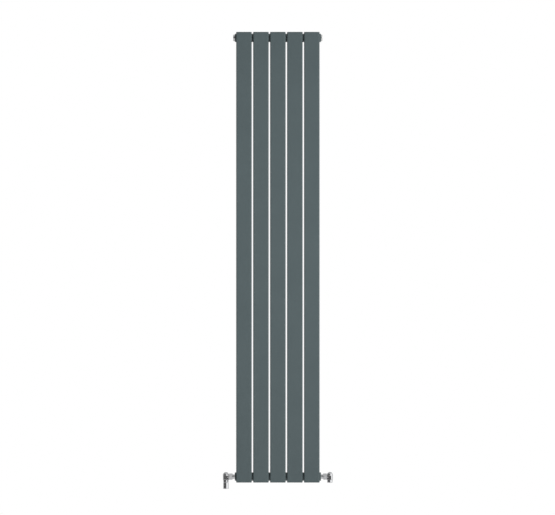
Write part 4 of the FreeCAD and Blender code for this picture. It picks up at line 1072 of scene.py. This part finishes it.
def lock_fasteners():
    """The screws and nuts that lock the lugs between the cheeks."""
    outline = Polygon(6, 10, corner=0.3)
    hexagon = outline.radius()
    cheek_face, head, shank, nut_length, tip_length = 5.3, 4.0, 3.0, 5.0, 2.0
    rim, washer, washer_top = 4.75, 4.6, cheek_face + 0.35
    chamfer = (hexagon - rim) * CHAMFER_SLOPE
    head_profile = [
        (cheek_face, 0), (cheek_face, washer, 0.1), (washer_top, washer, 0.1), (washer_top, hexagon, 0.15),
        (cheek_face + head - chamfer, hexagon, 0.15), (cheek_face + head, rim, 0.15),
        (cheek_face + head, 0, 0),
    ]
    start, end = -cheek_face, -cheek_face - nut_length
    tip = end - tip_length
    rod = [
        (tip, 0), (tip, 2.4, 0), *thread(tip + 0.1, cheek_face, shank, 0.6), (cheek_face, 2.3, 0),
        (cheek_face, 0, 0),
    ]
    screw_parts = [turned(head_profile, angles=outline.angles), turned(rod)]
    bore, lead = shank + FIT, 0.4
    nut_profile = [
        (end, rim, 0.15), (end + chamfer, hexagon, 0.15), (start - chamfer, hexagon, 0.15),
        (start, rim, 0.15), (start, bore + lead, 0.05), (start - lead, bore, 0.05),
        (end + lead, bore, 0.05), (end, bore + lead, 0.05),
    ]
    nut_part = turned(nut_profile, angles=outline.angles, closed=True)
    screws, nuts = [], []
    for row in ROWS:
        for side in SIDES:
            where = {"x": middle(f"{row}_{side}_lug").x / MM, "z": middle(f"{row}_header").z / MM}
            screws += [moved(part, **where) for part in screw_parts]
            nuts.append(moved(nut_part, **where))
    place = Place((0, middle("lock_screws").y, 0))
    piece("lock_screws_zinc", screws, place, "zinc_fastener", "lock_screws")
    piece("lock_nuts_zinc", nuts, place, "zinc_fastener", "lock_nuts")


# ---- the object


def build():
    dress_cad_nodes()
    for node in PANELS:
        panel_tube(node)
    for row in ROWS:
        closures(row)
        header(row)
        for side in SIDES:
            socket(row, side)
            bracket(row, side)
            lug(row, side)
    lock_fasteners()
    blanking_plug()
    vent_plug()
    drain_collar()
    bleed_screw()
    flow, back = Valve("flow"), Valve("return")
    flow.common()
    flow.pipe_and_sleeve()
    flow.hand_wheel()
    back.common()
    back.lockshield_cap()
    back.bonnet()
    back.spindle()


# ---- stage, light and camera


def floor():
    """A wide pale floor under the radiator, seen from above only."""
    level, half = cad_box[0].z - 0.15, 15.0
    mesh = bpy.data.meshes.new("floor")
    corners = [(-half, -half, level), (half, -half, level), (half, half, level), (-half, half, level)]
    mesh.from_pydata(corners, [], [(0, 1, 2, 3)])
    n = Nodes("floor")
    mix = n.add("ShaderNodeMixShader")
    back = n.add("ShaderNodeNewGeometry").outputs["Backfacing"]
    clear = n.add("ShaderNodeBsdfTransparent").outputs[0]
    for socket, value in zip(mix.inputs, (back, n.shader.outputs[0], clear)):
        feed(n.tree, socket, value)
    feed(n.tree, n.tree.nodes["Material Output"].inputs["Surface"], mix.outputs[0])
    mesh.materials.append(n.set(Base_Color=(0.86, 0.86, 0.86), Roughness=0.9))
    linked("floor", mesh)


def studio():
    """A white room with a dark card to the left, as a product photographer sets for chrome."""
    world = bpy.data.worlds.new("studio")
    bpy.context.scene.world = world
    world.use_nodes = True
    tree = world.node_tree
    add, link = tree.nodes.new, tree.links.new

    def maths(operation, *values):
        node = add("ShaderNodeMath")
        node.operation = operation
        for socket, value in zip(node.inputs, values):
            feed(tree, socket, value)
        return node.outputs[0]

    def step(value, at, soft):
        """Rises softly from 0 to 1 as value passes a number."""
        node = add("ShaderNodeMapRange")
        node.interpolation_type = "SMOOTHSTEP"
        link(value, node.inputs["Value"])
        node.inputs["From Min"].default_value = at - soft
        node.inputs["From Max"].default_value = at + soft
        return node.outputs["Result"]

    def between(value, start, end, soft):
        """1 where value lies between start and end, with soft edges."""
        return maths("MULTIPLY", step(value, start, soft), maths("SUBTRACT", 1.0, step(value, end, soft)))

    def blend(low, high, factor):
        """low where factor is 0, high where it is 1. Either may be a socket."""
        return maths("ADD", low, maths("MULTIPLY", factor, maths("SUBTRACT", high, low)))

    split = add("ShaderNodeSeparateXYZ")
    link(add("ShaderNodeTexCoord").outputs["Generated"], split.inputs[0])
    x, y, z = split.outputs
    heading = maths("ARCTAN2", x, maths("MULTIPLY", y, -1.0))  # 0 towards the camera, more to the right
    level = between(z, -0.78, 0.78, 0.10)
    light = 0.50  # the rest of the room
    zones = [
        (16, 112, 0.12, 1.0),  # the light box
        (112, 200, 0.12, 0.42),  # the room behind
        (-105, 16, 0.10, 0.09),  # the dark card
    ]
    for start, end, soft, strength in zones:
        zone = between(heading, math.radians(start), math.radians(end), soft)
        light = blend(light, strength, maths("MULTIPLY", level, zone))
    camera_ray = add("ShaderNodeLightPath").outputs["Is Camera Ray"]
    background = tree.nodes["Background"]
    background.inputs["Color"].default_value = (1, 1, 1, 1)
    link(blend(light, 1.0, camera_ray), background.inputs["Strength"])


def key_light():
    """A gridded softbox at the upper right that leaves no bright spot in the chrome."""
    data = bpy.data.lights.new("key", "AREA")
    data.size, data.energy, data.spread = 1.4, 27.5, math.radians(100)
    obj = linked("key", data)
    obj.visible_glossy = False
    obj.location = (1.5, -3.6, 0.6)
    obj.rotation_euler = (-obj.location).to_track_quat("-Z", "Y").to_euler()


def camera():
    """A long straight-on view, as the catalogue picture has."""
    shown_width, distance = 2.2165, 6.0
    aim_x, aim_z = -0.0015, -0.0011
    data = bpy.data.cameras.new("camera")
    data.type = "ORTHO"
    data.ortho_scale = shown_width
    data.clip_end = 50
    obj = linked("camera", data)
    obj.location = (aim_x, -distance, aim_z)
    obj.rotation_euler = (math.radians(90), 0, 0)
    bpy.context.scene.camera = obj


build()
floor()
studio()
key_light()
camera()
bpy.context.scene.view_settings.view_transform = "Standard"
